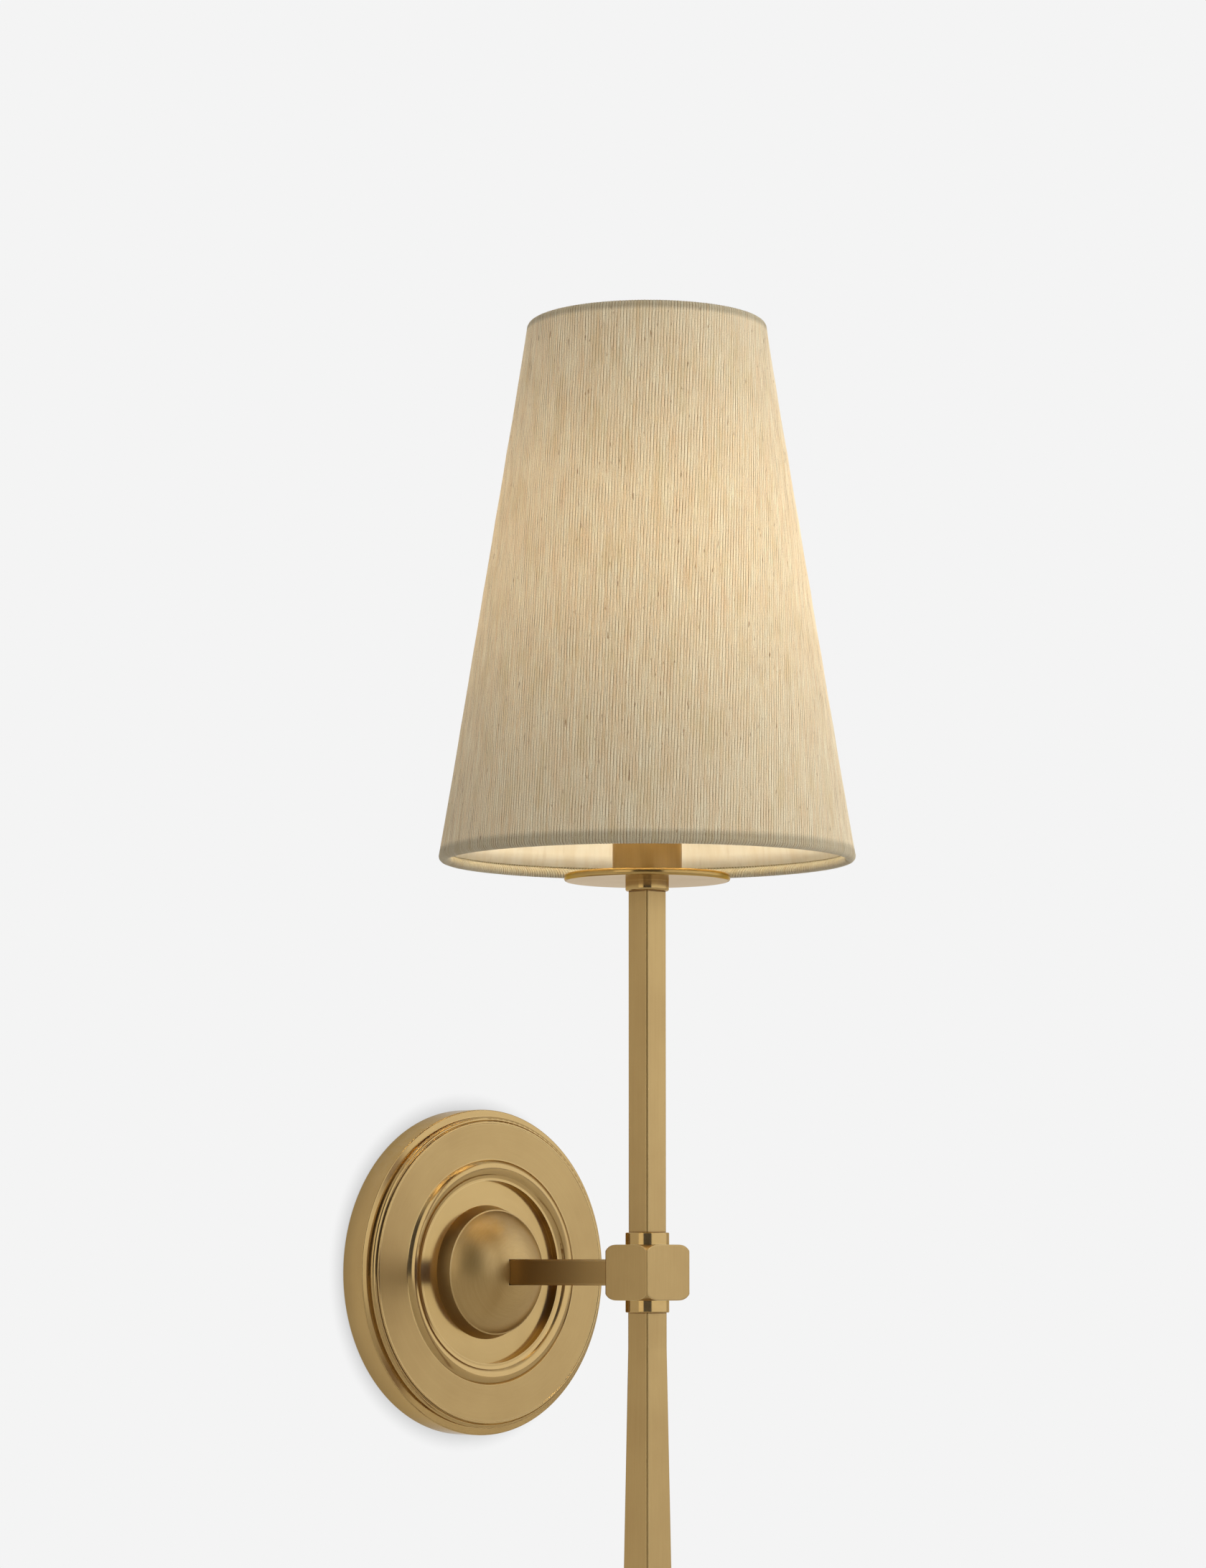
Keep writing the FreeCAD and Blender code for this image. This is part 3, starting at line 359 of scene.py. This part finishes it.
def makeGlass(name, tint, rough):
    material, tree, shader, place = newMaterial(name)
    shader.inputs["Base Color"].default_value = tint
    shader.inputs["Transmission Weight"].default_value = 1.0
    shader.inputs["IOR"].default_value = 1.45
    feed(tree, shader.inputs["Roughness"], noiseTerm(tree, place, 300.0, 3.0) * 0.03 + rough)
    bump(tree, shader, noiseTerm(tree, place, 60.0, 2.0), 0.05 * mm)
    letLampIn(tree, shader.outputs[0], (0.96, 0.96, 0.95, 1))
    return material


filamentValues = {"colour": srgb(255, 214, 140), "hot": srgb(255, 236, 190), "glow": 6.0}


def makeFilament():
    material, tree, shader, place = newMaterial("filament")
    wave = noiseTerm(tree, scaled(tree, place, (1, 1, 0.6)), 900.0, 3.0)
    tone = blendColours(tree, wave, filamentValues["colour"], filamentValues["hot"])
    feed(tree, shader.inputs["Base Color"], tone)
    feed(tree, shader.inputs["Emission Color"], tone)
    feed(tree, shader.inputs["Roughness"], wave * 0.2 + 0.4)
    shader.inputs["Emission Strength"].default_value = filamentValues["glow"]
    return material


# the shade: its sizes, its two cloths and then its two pieces

shadeValues = {
    "bottomRadius": 72.6 * mm,     # of the two wire rings
    "topRadius": 41.3 * mm,
    "bottomHeight": 148.3 * mm,
    "topHeight": 339.3 * mm,
    "rollRadius": 1.93 * mm,
    "wallOut": 1.73 * mm,          # outside of the wall from the line of the wires
    "settle": 2.2 * mm,            # length over which the roll settles into the wall
    "yarnPitch": 1.06 * mm,
    "yarnDepth": 0.14 * mm,
    "clothThickness": 0.45 * mm,
    "tuckBottom": 4.3,             # radians that the cloth goes round each wire
    "tuckTop": 4.0,
    "tuckRows": 0.34,              # share of the rows that goes round each wire
    "rows": 25,
    "columnsPerYarn": 4,
    "facing": math.radians(-146.5),   # the cut's middle line; the seam is opposite
}


def shadeCone():
    # half angle of the cone that both wires lie on, and the cloth from its tip to each wire
    slope = math.atan2(shadeValues["bottomRadius"] - shadeValues["topRadius"],
                       shadeValues["topHeight"] - shadeValues["bottomHeight"])
    return slope, shadeValues["bottomRadius"] / math.sin(slope), shadeValues["topRadius"] / math.sin(slope)


def letLightThrough(tree, shader, colour, share, lampShare):
    # the cloth glows with what comes through it, and lamp rays pass it in part
    lit = addNode(tree, "ShaderNodeBsdfTranslucent", {"Color": colour}).outputs[0]
    letLampIn(tree, blendShaders(tree, share, shader.outputs[0], lit), lampShare)


linenValues = {
    "light": srgb(255, 246, 217),
    "body": srgb(245, 223, 185),
    "valleyShadeAndMottle": srgb(134, 104, 60),
    "fleck": srgb(146, 106, 54),
    "stain": srgb(214, 192, 138),
    "lamplight": (1.0, 1.0, 1.08, 1),   # the cloth holds back less blue than its face does
    # the hem colour and its amount paint shade on the hems
    "hem": srgb(176, 166, 142),
    "hemShade": 0.40,
    "hemHoldsBack": 0.6,
    "hemWidth": 2.0,           # mm
    "weftPitch": 0.62,         # mm from one weft thread to the next
    "relief": 0.18 * mm,
    "through": 0.30,           # share of light that comes through
    "lampShare": (0.42, 0.42, 0.41, 1),
}


def makeLinen():
    # thick upright yarns over a fine weft, with slubs; the map is in millimetres of flat cloth
    values = linenValues
    material, tree, shader, _ = newMaterial("fabric")
    flat = addNode(tree, "ShaderNodeUVMap", uv_map="threads").outputs[0]
    across, along, _ = splitVector(tree, flat)

    def clothNoise(factors, detail, roughness=0.5):
        return noiseTerm(tree, scaled(tree, flat, factors), 1.0, detail, roughness)

    sway = clothNoise((0.3, 0.06, 1), 2.0)
    yarn = across / (shadeValues["yarnPitch"] / mm) + (sway - 0.5) * 0.5
    crest = (yarn * math.pi).do("SINE").do("ABSOLUTE")
    middle = (yarn * math.pi).do("COSINE").do("ABSOLUTE")
    index = yarn.do("FLOOR") * 7.31      # far enough apart that no two yarns are alike

    def perYarn(speed, offset, detail):
        return noiseTerm(tree, joinVector(tree, index + offset, along * speed), 1.0, detail, 0.6)

    tone = perYarn(0.06, 0.0, 3.0)
    thick = perYarn(0.35, 40.0, 2.0)
    broken = perYarn(0.14, 90.0, 5.0)
    weft = (along * (2 * math.pi / values["weftPitch"]) + index).do("SINE") * 0.5 + 0.5
    fuzz = clothNoise((3.6, 2.4, 1), 4.0, 0.7)
    streaks = clothNoise((1.6, 0.035, 1), 4.0, 0.65)
    slub = clothNoise((1.0, 0.20, 1), 2.0, 0.45).between(0.66, 0.76)
    patch = clothNoise((0.11, 0.05, 1), 2.0)
    stain = clothNoise((0.16, 0.045, 1), 4.0, 0.6).between(0.48, 0.72)
    # painted shade in the grooves between yarns and along a split in each yarn's middle
    grooveShade = crest.oneMinus().between(0.40, 0.95) * (broken.between(0.34, 0.60) * 0.75 + 0.25)
    split = middle.oneMinus().between(0.55, 1.0) * broken.between(0.60, 0.40)

    # colour, from the yarns themselves to what lies on them
    yarnTone = (tone * 0.5 + streaks * 0.5).between(0.32, 0.66)
    cloth = blendColours(tree, yarnTone, values["body"], values["light"])
    # groove and split darkening is painted shade; the fuzz uses the same darker tone as a random mottle
    for amount in (grooveShade * 0.95, split * 0.55, fuzz.between(0.46, 0.78) * 0.55):
        cloth = blendColours(tree, amount, cloth, values["valleyShadeAndMottle"])
    cloth = blendColours(tree, stain * 0.30, cloth, values["stain"])
    cloth = blendColours(tree, slub * (patch.between(0.35, 0.6) * 0.65 + 0.15), cloth, values["fleck"])

    # the hems, where cover and lining lie on the wires, let less through, and their darker, greyer colour is
    # painted shade
    _, lowWire, highWire = shadeCone()
    nearLow = (along - (lowWire / mm - values["hemWidth"])).between(-1.6, 1.2)
    nearHigh = (along * -1.0 + (highWire / mm + values["hemWidth"] * 0.6)).between(-1.2, 1.0)
    hem = nearLow.do("MAXIMUM", nearHigh)
    cloth = blendColours(tree, hem * values["hemShade"], cloth, values["hem"], "MULTIPLY")
    through = blendColours(tree, 1.0, cloth, values["lamplight"], "MULTIPLY")
    through = blendColours(tree, hem * values["hemHoldsBack"], through, grey(0.02))

    feed(tree, shader.inputs["Base Color"], cloth)
    shader.inputs["Roughness"].default_value = 0.85
    shader.inputs["Specular IOR Level"].default_value = 0.12
    shader.inputs["Sheen Weight"].default_value = 0.35
    shader.inputs["Sheen Roughness"].default_value = 0.45
    height = crest.do("SQRT") * (thick * 0.6 + 0.5) + weft * 0.14 + fuzz * 0.4 + slub * 0.5
    bump(tree, shader, height, values["relief"], 0.9)
    letLightThrough(tree, shader, through, values["through"], values["lampShare"])
    return material


liningValues = {
    "light": srgb(246, 237, 220),
    "dark": srgb(240, 228, 206),
    "drip": srgb(212, 190, 156),
    "relief": 0.08 * mm,
    "through": 0.35,
    "lampShare": (0.62, 0.62, 0.61, 1),
    "innerOut": 0.45 * mm,      # inside of the lining from the line of the wires
    "thickness": 0.4 * mm,
    "margin": 2.25 * mm,        # how far it ends inside each wire
    "puckerDepth": 0.10 * mm,
    "puckersRound": 4.0,
    "puckersUp": 30.0,          # to the metre
    "columns": 180,
    "rows": 40,
}


def makeLiningCloth():
    values = liningValues
    material, tree, shader, place = newMaterial("lining")
    crease = noiseTerm(tree, scaled(tree, place, (260, 260, 30)), 1.0, 3.0, 0.6)
    weave = noiseTerm(tree, place, 2600.0, 3.0, 0.7)
    drips = noiseTerm(tree, scaled(tree, place, (420, 420, 70)), 1.0, 2.0, 0.5).between(0.56, 0.74)
    tone = blendColours(tree, crease.between(0.35, 0.7), values["light"], values["dark"])
    tone = blendColours(tree, drips * 0.25, tone, values["drip"])
    feed(tree, shader.inputs["Base Color"], tone)
    shader.inputs["Roughness"].default_value = 0.75
    shader.inputs["Specular IOR Level"].default_value = 0.2
    bump(tree, shader, crease * 0.8 + weave * 0.2, values["relief"], 0.7)
    letLightThrough(tree, shader, tone, values["through"], values["lampShare"])
    return material


# every finish of the light, with what sets each brass one apart

stemCentre = (0, stemY, 0)
onWall = {"axis": (0, 1, 0)}
onStem = {"axis": (0, 0, 1), "centre": stemCentre}
brightBrass = (srgb(214, 184, 118), srgb(184, 150, 88))
finishes = {
    "platePiece": makeBrass("brassPlate", **onWall, gloss=0.15, streak=0.16,
                            satin=(42 * mm, 54.5 * mm, 0.32)),
    "boss": makeBrass("brassBoss", **onWall, gloss=0.38, streak=0.3),
    "turned": makeBrass("brassTurned", **onStem, gloss=0.10, streak=0.16),
    "disc": makeBrass("brassDisc", **onStem, gloss=0.14, streak=0.12, coat=0.08),
    "cup": makeBrass("brassCup", gloss=0.3, streak=0.3),
    "upright": makeBrass("brassUpright", drawn=(1, 1, 0.012), gloss=0.30),
    # the arm's darker colour is a painted reflection of the darker plate and shade beside it
    "outward": makeBrass("brassOutward", drawn=(1, 0.012, 1), gloss=0.30, colour=srgb(150, 118, 62)),
    "block": makeBrass("brassBlock", drawn=(1, 1, 0.03), gloss=0.30),
    "tubeBrass": makePlain("tubeBrass", *brightBrass, 1.0, 0.3, relief=0.05 * mm),
    "sheetBrass": makePlain("sheetBrass", srgb(218, 190, 124), srgb(190, 158, 96), 1.0, 0.28),
    "steel": makePlain("steel", srgb(176, 178, 180), srgb(140, 143, 148), 1.0, 0.38),
    "greenSteel": makePlain("greenSteel", srgb(58, 116, 66), srgb(34, 84, 46), 0.4, 0.4),
    "phenolic": makePlain("phenolic", srgb(34, 32, 33), srgb(20, 19, 20), 0.0, 0.42, relief=0.02 * mm),
    "nylon": makePlain("bushingNylon", srgb(30, 30, 31), srgb(18, 18, 19), 0.0, 0.5),
    "liveLead": makePlain("liveInsulation", srgb(26, 26, 27), srgb(14, 14, 15), 0.0, 0.45),
    "neutralLead": makePlain("neutralInsulation", srgb(224, 223, 216), srgb(204, 202, 194), 0.0, 0.45),
    "nickel": makePlain("nickel", srgb(190, 188, 182), srgb(160, 158, 152), 1.0, 0.25),
    "capGlass": makePlain("capGlass", srgb(22, 22, 26), srgb(12, 12, 15), 0.0, 0.12),
    "creamWire": makePlain("frameWire", srgb(222, 216, 202), srgb(200, 192, 176), 0.0, 0.4),
    "glass": makeGlass("glass", (0.98, 0.985, 0.98, 1), 0.01),
    "mountGlass": makeGlass("mountGlass", (0.95, 0.97, 0.96, 1), 0.03),
    "filament": makeFilament(),
    "linen": makeLinen(),
    "liningCloth": makeLiningCloth(),
}
print("finishes made:", len(finishes))

nodeFinish = {
    "mounting_bracket": "steel", "ground_screw": "greenSteel", "backplate": "platePiece",
    "plate_set_screws": "turned", "hub": "boss", "hub_tube": "tubeBrass", "lock_washer": "steel",
    "hub_nut": "sheetBrass", "lead_bushing": "nylon", "arm": "outward", "junction_block": "block",
    "upper_collar": "turned", "lower_collar": "turned", "joint_tubes": "tubeBrass", "stem": "upright",
    "tail": "upright", "head_collar": "turned", "drip_disc": "disc", "holder_cup": "cup",
    "head_tube": "tubeBrass", "head_nut": "sheetBrass", "lamp_holder": "phenolic",
    "screw_shell": "sheetBrass", "centre_contact": "sheetBrass", "lead_terminals": "sheetBrass",
    "live_lead": "liveLead", "neutral_lead": "neutralLead", "bulb_contact": "nickel",
    "bulb_insulator": "capGlass", "bulb_cap": "nickel", "bulb_glass": "glass",
    "bulb_mount": "mountGlass", "bulb_filaments": "filament", "filament_supports": "nickel",
    "bottom_ring": "creamWire", "top_ring_carrier": "creamWire", "clamp_ring": "phenolic",
}
for nodeName, finish in nodeFinish.items():
    mesh = nodes[nodeName].data
    mesh.materials.clear()
    mesh.materials.append(finishes[finish])
print("rigid pieces dressed:", len(nodeFinish))


def addPiece(name, mesh, replaced):
    # a piece of cloth that rides the shade
    piece = bpy.data.objects.new(name, mesh)
    scene.collection.objects.link(piece)
    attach(piece, "shade")
    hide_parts(replaced)
    return piece


def thicken(piece, name, thickness):
    wall = piece.modifiers.new(name, "SOLIDIFY")
    wall.thickness = thickness
    wall.offset = -1.0


# the sizes that the cover's tree has as inputs
shadeSizes = ("bottomRadius", "topRadius", "bottomHeight", "topHeight", "rollRadius", "wallOut", "settle",
              "yarnPitch", "yarnDepth", "tuckBottom", "tuckTop", "tuckRows", "facing")


def makeShadeTree():
    # cloth cut as a flat sector with straight yarns, then wrapped to a cone and rolled round its wires
    inputs = [(size, "Float", None) for size in shadeSizes]
    inputs += [("columns", "Int", None), ("rows", "Int", None), ("material", "Material", None)]
    tree, given, made = newGroup("wrappedShade", inputs, [("Geometry", "Geometry", None)],
                                 "GeometryNodeTree")
    term = {size: Term(tree, given[size]) for size in shadeSizes}
    roll, tuckRows = term["rollRadius"], term["tuckRows"]
    grid = addNode(tree, "GeometryNodeMeshGrid", {
        "Size X": 2.0, "Size Y": 1.0, "Vertices X": given["columns"], "Vertices Y": given["rows"]})
    spot = addNode(tree, "GeometryNodeInputPosition").outputs[0]
    columnShare, gridRow, _ = splitVector(tree, spot)
    rowShare = gridRow + 0.5       # the grid lies round its middle

    # the cone that both wires lie on
    slope = (term["bottomRadius"] - term["topRadius"]).do(
        "ARCTAN2", term["topHeight"] - term["bottomHeight"])
    lean, upright = slope.do("SINE"), slope.do("COSINE")
    sector = lean * math.pi
    farWire = term["bottomRadius"] / lean
    nearWire = term["topRadius"] / lean
    outEdge = farWire + roll * term["tuckBottom"]
    inEdge = nearWire - roll * term["tuckTop"]

    # rows are closer together round the wires than on the wall
    atBottom = rowShare.do("MINIMUM", tuckRows) / tuckRows
    atTop = (rowShare.do("MAXIMUM", tuckRows.oneMinus()) - tuckRows.oneMinus()) / tuckRows
    onWallShare = ((rowShare - tuckRows) / (tuckRows * 2.0).oneMinus()).clamp()
    rowPlace = (outEdge - (outEdge - farWire) * atBottom - (farWire - nearWire) * onWallShare
                - (nearWire - inEdge) * atTop)
    across = columnShare * outEdge * sector.do("SINE")
    seamPlace = across.do("ABSOLUTE") / sector.do("SINE")
    place = rowPlace.do("MAXIMUM", seamPlace)
    angle = (across / place).clamp(-1.0, 1.0).do("ARCSINE") / lean + term["facing"]

    # where the row lies in the section: round the lower wire, on the wall, or round the upper wire
    below = (place - farWire).do("MAXIMUM", 0.0)
    above = (nearWire - place).do("MAXIMUM", 0.0)
    up = (farWire - place).clamp(0.0, 1.0).do("MINIMUM", farWire - nearWire)
    turn = slope - below / roll + above / roll
    settled = up.do("MINIMUM", (farWire - nearWire) - up).between(0.0, term["settle"])
    out = roll - (roll - term["wallOut"]) * settled

    # each yarn stands out by its own height
    yarn = across / term["yarnPitch"]
    crest = (yarn * math.pi).do("SINE").do("ABSOLUTE").do("SQRT")
    uneven = noiseTerm(tree, joinVector(tree, yarn.do("FLOOR") * 3.7, place * 45.0), 1.0, 2.0) * 0.9 + 0.55
    out = out + (crest * uneven - 1.0) * term["yarnDepth"]

    radius = term["bottomRadius"] - up * lean + out * turn.do("COSINE")
    height = term["bottomHeight"] + up * upright + out * turn.do("SINE")
    target = joinVector(tree, radius * angle.do("COSINE"), radius * angle.do("SINE") + stemY, height)
    flat = joinVector(tree, across / mm, place / mm)
    store = addNode(tree, "GeometryNodeStoreNamedAttribute", {
        "Geometry": grid.outputs["Mesh"], "Name": "threads", "Value": flat},
        data_type="FLOAT2", domain="CORNER")
    moved = addNode(tree, "GeometryNodeSetPosition", {"Geometry": store.outputs[0], "Position": target})
    merged = addNode(tree, "GeometryNodeMergeByDistance", {
        "Geometry": moved.outputs[0], "Distance": 0.004 * mm})
    smooth = addNode(tree, "GeometryNodeSetShadeSmooth", {"Geometry": merged.outputs[0]})
    real = addNode(tree, "GeometryNodeRealizeInstances", {"Geometry": smooth.outputs[0]})
    dressed = addNode(tree, "GeometryNodeSetMaterial", {
        "Geometry": real.outputs[0], "Material": given["material"]})
    feed(tree, made["Geometry"], dressed.outputs[0])
    return tree


def bakeTree(name, tree, values):
    # runs a geometry tree on an empty object and hands back its plain mesh
    carrier = bpy.data.objects.new(name + "Carrier", bpy.data.meshes.new(name + "Carrier"))
    scene.collection.objects.link(carrier)
    modifier = carrier.modifiers.new(name, "NODES")
    modifier.node_group = tree
    identifiers = {item.name: item.identifier for item in tree.interface.items_tree
                   if item.item_type == "SOCKET" and item.in_out == "INPUT"}
    for label, value in values.items():
        modifier[identifiers[label]] = value
    bpy.context.view_layer.update()
    graph = bpy.context.evaluated_depsgraph_get()
    mesh = bpy.data.meshes.new_from_object(carrier.evaluated_get(graph))
    mesh.name = name
    carrier.modifiers.remove(modifier)
    bpy.data.objects.remove(carrier)
    return mesh


def makeShadeCover():
    values = shadeValues
    slope, farWire, nearWire = shadeCone()
    outEdge = farWire + values["rollRadius"] * values["tuckBottom"]
    sector = math.pi * math.sin(slope)
    width = 2 * outEdge * math.sin(sector)
    columns = int(width / values["yarnPitch"] * values["columnsPerYarn"]) + 1
    sizes = {size: values[size] for size in shadeSizes}
    mesh = bakeTree("shadeCover", makeShadeTree(), {
        **sizes, "columns": columns, "rows": values["rows"], "material": finishes["linen"]})
    cover = addPiece("shadeCover", mesh, "shade_fabric")
    thicken(cover, "clothThickness", values["clothThickness"])
    return cover


def makeShadeLining():
    values = liningValues
    slope, farWire, nearWire = shadeCone()
    low = shadeValues["bottomHeight"] + values["margin"]
    high = shadeValues["topHeight"] - values["margin"]
    shape = bmesh.new()
    rings = []
    for row in range(values["rows"] + 1):
        height = low + (high - low) * row / values["rows"]
        wireLine = shadeValues["bottomRadius"] - (height - shadeValues["bottomHeight"]) * math.tan(slope)
        ring = []
        for column in range(values["columns"]):
            angle = 2 * math.pi * column / values["columns"]
            lean = angle * 0.5 + height * 4.0
            pucker = noise.noise(Vector((math.cos(angle) * values["puckersRound"] + lean,
                                         math.sin(angle) * values["puckersRound"],
                                         height * values["puckersUp"])))
            radius = wireLine + values["innerOut"] + values["puckerDepth"] * min(0.0, pucker)
            ring.append(shape.verts.new((radius * math.cos(angle), stemY + radius * math.sin(angle), height)))
        rings.append(ring)
    for lower, upper in zip(rings, rings[1:]):
        for column in range(values["columns"]):
            following = (column + 1) % values["columns"]
            # wound so that the faces look at the bulb
            shape.faces.new((lower[column], upper[column], upper[following], lower[following]))
    for face in shape.faces:
        face.smooth = True
    mesh = bpy.data.meshes.new("shadeLining")
    shape.to_mesh(mesh)
    shape.free()
    mesh.materials.append(finishes["liningCloth"])
    lining = addPiece("shadeLining", mesh, "shade_lining")
    thicken(lining, "liningThickness", values["thickness"])
    return lining


print("shade cover made:", len(makeShadeCover().data.polygons), "faces")
print("shade lining made:", len(makeShadeLining().data.polygons), "faces")


# camera, stage and lights

cameraValues = {
    "place": (-1.1083, -1.2288, 0.0041),
    "yaw": 43.803,
    "pitch": 3.830,
    "lens": 102.06,
    "shiftUp": 0.1144,       # the photograph's upright lines stay parallel
}


def makeCamera():
    values = cameraValues
    camera = bpy.data.objects.new("camera", bpy.data.cameras.new("camera"))
    scene.collection.objects.link(camera)
    camera.data.lens = values["lens"]
    camera.data.sensor_width = 36.0
    camera.data.shift_y = values["shiftUp"]
    camera.data.clip_start = 0.05
    camera.data.clip_end = 60.0
    camera.location = values["place"]
    yaw, pitch = math.radians(values["yaw"]), math.radians(values["pitch"])
    look = Vector((math.sin(yaw) * math.cos(pitch), math.cos(yaw) * math.cos(pitch), math.sin(pitch)))
    camera.rotation_euler = look.to_track_quat("-Z", "Y").to_euler()
    scene.camera = camera


stageValues = {
    "background": 0.905,
    "wallColour": 0.60,      # for light that bounces
    "floorColour": 0.88,
    "floorHeight": -0.46,
    "wallPlace": 0.4 * mm,   # just behind the plate's back
    "reach": 8.0,            # of wall and floor to each side
    "wallTop": 6.0,
    "contactReach": 7 * mm,
    "contactDark": 0.55,
}


def makePaint(name, level):
    # a dull paint that is very slightly uneven
    material, tree, shader, place = newMaterial(name)
    grain = noiseTerm(tree, place, 6.0, 2.0)
    feed(tree, shader.inputs["Base Color"], blendColours(tree, grain * 0.02, grey(level), grey(level * 0.97)))
    shader.inputs["Roughness"].default_value = 0.95
    shader.inputs["Specular IOR Level"].default_value = 0.0
    return material, tree, shader


def raysOf(tree, *kinds):
    # 1 for the kinds of ray that are named, and 0 for all others
    path = addNode(tree, "ShaderNodeLightPath").outputs
    total = Term(tree, path[f"Is {kinds[0]} Ray"])
    for kind in kinds[1:]:
        total = total + path[f"Is {kind} Ray"]
    return total.clamp()


def makeWallPaint():
    # camera, metal and glass see the pale background with a slim contact shadow, the rest a plain wall,
    # and from behind the wall is open
    values = stageValues
    material, tree, shader = makePaint("wallPaint", values["wallColour"])
    near = addNode(tree, "ShaderNodeAmbientOcclusion", {"Distance": values["contactReach"]}, samples=12)
    level = (Term(tree, near.outputs["AO"]) - 1.0) * values["contactDark"] + 1.0
    pale = addNode(tree, "ShaderNodeEmission", {"Color": grey(1.0), "Strength": level * values["background"]})
    front = blendShaders(tree, raysOf(tree, "Camera", "Glossy", "Transmission"), shader.outputs[0],
                         pale.outputs[0])
    behind = addNode(tree, "ShaderNodeNewGeometry").outputs["Backfacing"]
    clear = addNode(tree, "ShaderNodeBsdfTransparent").outputs[0]
    setSurface(tree, blendShaders(tree, behind, front, clear))
    return material


def makePlane(name, corners, material):
    mesh = bpy.data.meshes.new(name)
    mesh.from_pydata(corners, [], [(0, 1, 2, 3)])
    mesh.materials.append(material)
    plane = bpy.data.objects.new(name, mesh)
    scene.collection.objects.link(plane)


def makeStage():
    values = stageValues
    floor, reach, top, wall = (values[key] for key in ("floorHeight", "reach", "wallTop", "wallPlace"))
    makePlane("wall", [(-reach, wall, floor), (reach, wall, floor), (reach, wall, top), (-reach, wall, top)],
              makeWallPaint())
    makePlane("floor", [(-reach, -reach, floor), (reach, -reach, floor), (reach, reach, floor),
                        (-reach, reach, floor)], makePaint("floorPaint", values["floorColour"])[0])


# levels and places of the soft light; a span is the degrees round the light at which a soft box
# starts, is full, starts to fade and has ended: 0 is behind the camera, 90 its right and -90 its left
studioValues = {
    "room": 0.80,            # light from all round
    "leftRoom": 0.46,        # and from the left, as cloth and plastic see it
    "leftFade": (10.0, -50.0),
    "rightBox": 1.55,        # soft boxes, as seen in the metal
    "rightSpan": (19.0, 24.0, 112.0, 128.0),
    "rightTint": (0.97, 1.04, 1.18, 1),
    "leftBox": 1.6,
    "leftSpan": (-19.0, -24.0, -74.0, -84.0),
    "gap": 0.12,             # the dark side of the studio, between the boxes
    "boxTop": (0.85, 0.6),   # sine of the height over which a box fades in, from above or below
}


def makeStudio():
    values = studioValues
    world = bpy.data.worlds.new("studio")
    world.use_nodes = True
    scene.world = world
    tree = world.node_tree
    way = addNode(tree, "ShaderNodeTexCoord").outputs["Generated"]
    yaw = math.radians(cameraValues["yaw"])

    def along(*direction):
        node = addNode(tree, "ShaderNodeVectorMath", {0: way, 1: direction}, operation="DOT_PRODUCT")
        return Term(tree, node.outputs["Value"])

    towardRight = along(math.cos(yaw), -math.sin(yaw), 0.0)
    towardCamera = along(-math.sin(yaw), -math.cos(yaw), 0.0)
    turn = towardRight.do("ARCTAN2", towardCamera) * (180 / math.pi)
    level = along(0.0, 0.0, 1.0).do("ABSOLUTE").between(*values["boxTop"])

    def softBox(span):
        start, full, last, end = span
        return turn.between(start, full) * turn.between(end, last) * level

    right, left = softBox(values["rightSpan"]), softBox(values["leftSpan"])
    gapFull, gapEnd = values["rightSpan"][:2]      # the gap ends where the boxes start
    gap = turn.do("ABSOLUTE").between(gapEnd, gapFull) * level
    studio = (right * (values["rightBox"] - values["room"]) + left * (values["leftBox"] - values["room"])
              + gap * (values["gap"] - values["room"]) + values["room"])
    glossy = raysOf(tree, "Glossy")
    onLeft = turn.between(*values["leftFade"]) * glossy.oneMinus()
    studio = studio * (onLeft * (values["leftRoom"] / values["room"] - 1) + 1.0)
    seen = raysOf(tree, "Camera", "Transmission")
    strength = studio + seen * (studio * -1.0 + stageValues["background"])
    tint = blendColours(tree, right * glossy, grey(1.0), values["rightTint"])
    feed(tree, tree.nodes["Background"].inputs["Strength"], strength)
    feed(tree, tree.nodes["Background"].inputs["Color"], tint)


def addLight(name, kind, place, energy):
    light = bpy.data.lights.new(name, kind)
    light.energy = energy
    lamp = bpy.data.objects.new(name, light)
    scene.collection.objects.link(lamp)
    lamp.location = place
    lamp.visible_glossy = False
    return lamp


keyCardValues = {"place": (1.5, -1.5, 0.5), "aim": (0, -0.06, 0.05), "size": (1.2, 1.6), "energy": 8.0}


def makeKeyCard():
    # one large soft light from the right
    values = keyCardValues
    card = addLight("keyCard", "AREA", values["place"], values["energy"])
    card.data.shape = "RECTANGLE"
    card.data.size, card.data.size_y = values["size"]
    look = Vector(values["aim"]) - Vector(values["place"])
    card.rotation_euler = look.to_track_quat("-Z", "Z").to_euler()


lampValues = {
    "heights": (0.222, 0.247, 0.272),   # along the glowing rods
    "energy": 0.155,
    "colour": (0.93, 1.0, 0.98),
    "softness": 8 * mm,
}


def makeLampGlow():
    # light of the glowing rods, spread over their length; the thin carrier casts no lines on the cloth
    blockers = bpy.data.collections.new("glowBlockers")
    blockers.objects.link(nodes["top_ring_carrier"])
    blockers.collection_objects[0].light_linking.link_state = "EXCLUDE"
    for number, height in enumerate(lampValues["heights"]):
        glow = addLight(f"bulbGlow{number}", "POINT", (0, stemY, height), lampValues["energy"])
        glow.data.color = lampValues["colour"]
        glow.data.shadow_soft_size = lampValues["softness"]
        glow.visible_camera = glow.visible_transmission = False
        glow.light_linking.blocker_collection = blockers


makeCamera()
makeStage()
makeStudio()
makeKeyCard()
makeLampGlow()
scene.view_settings.view_transform = "Standard"
print("camera, stage and lights made")
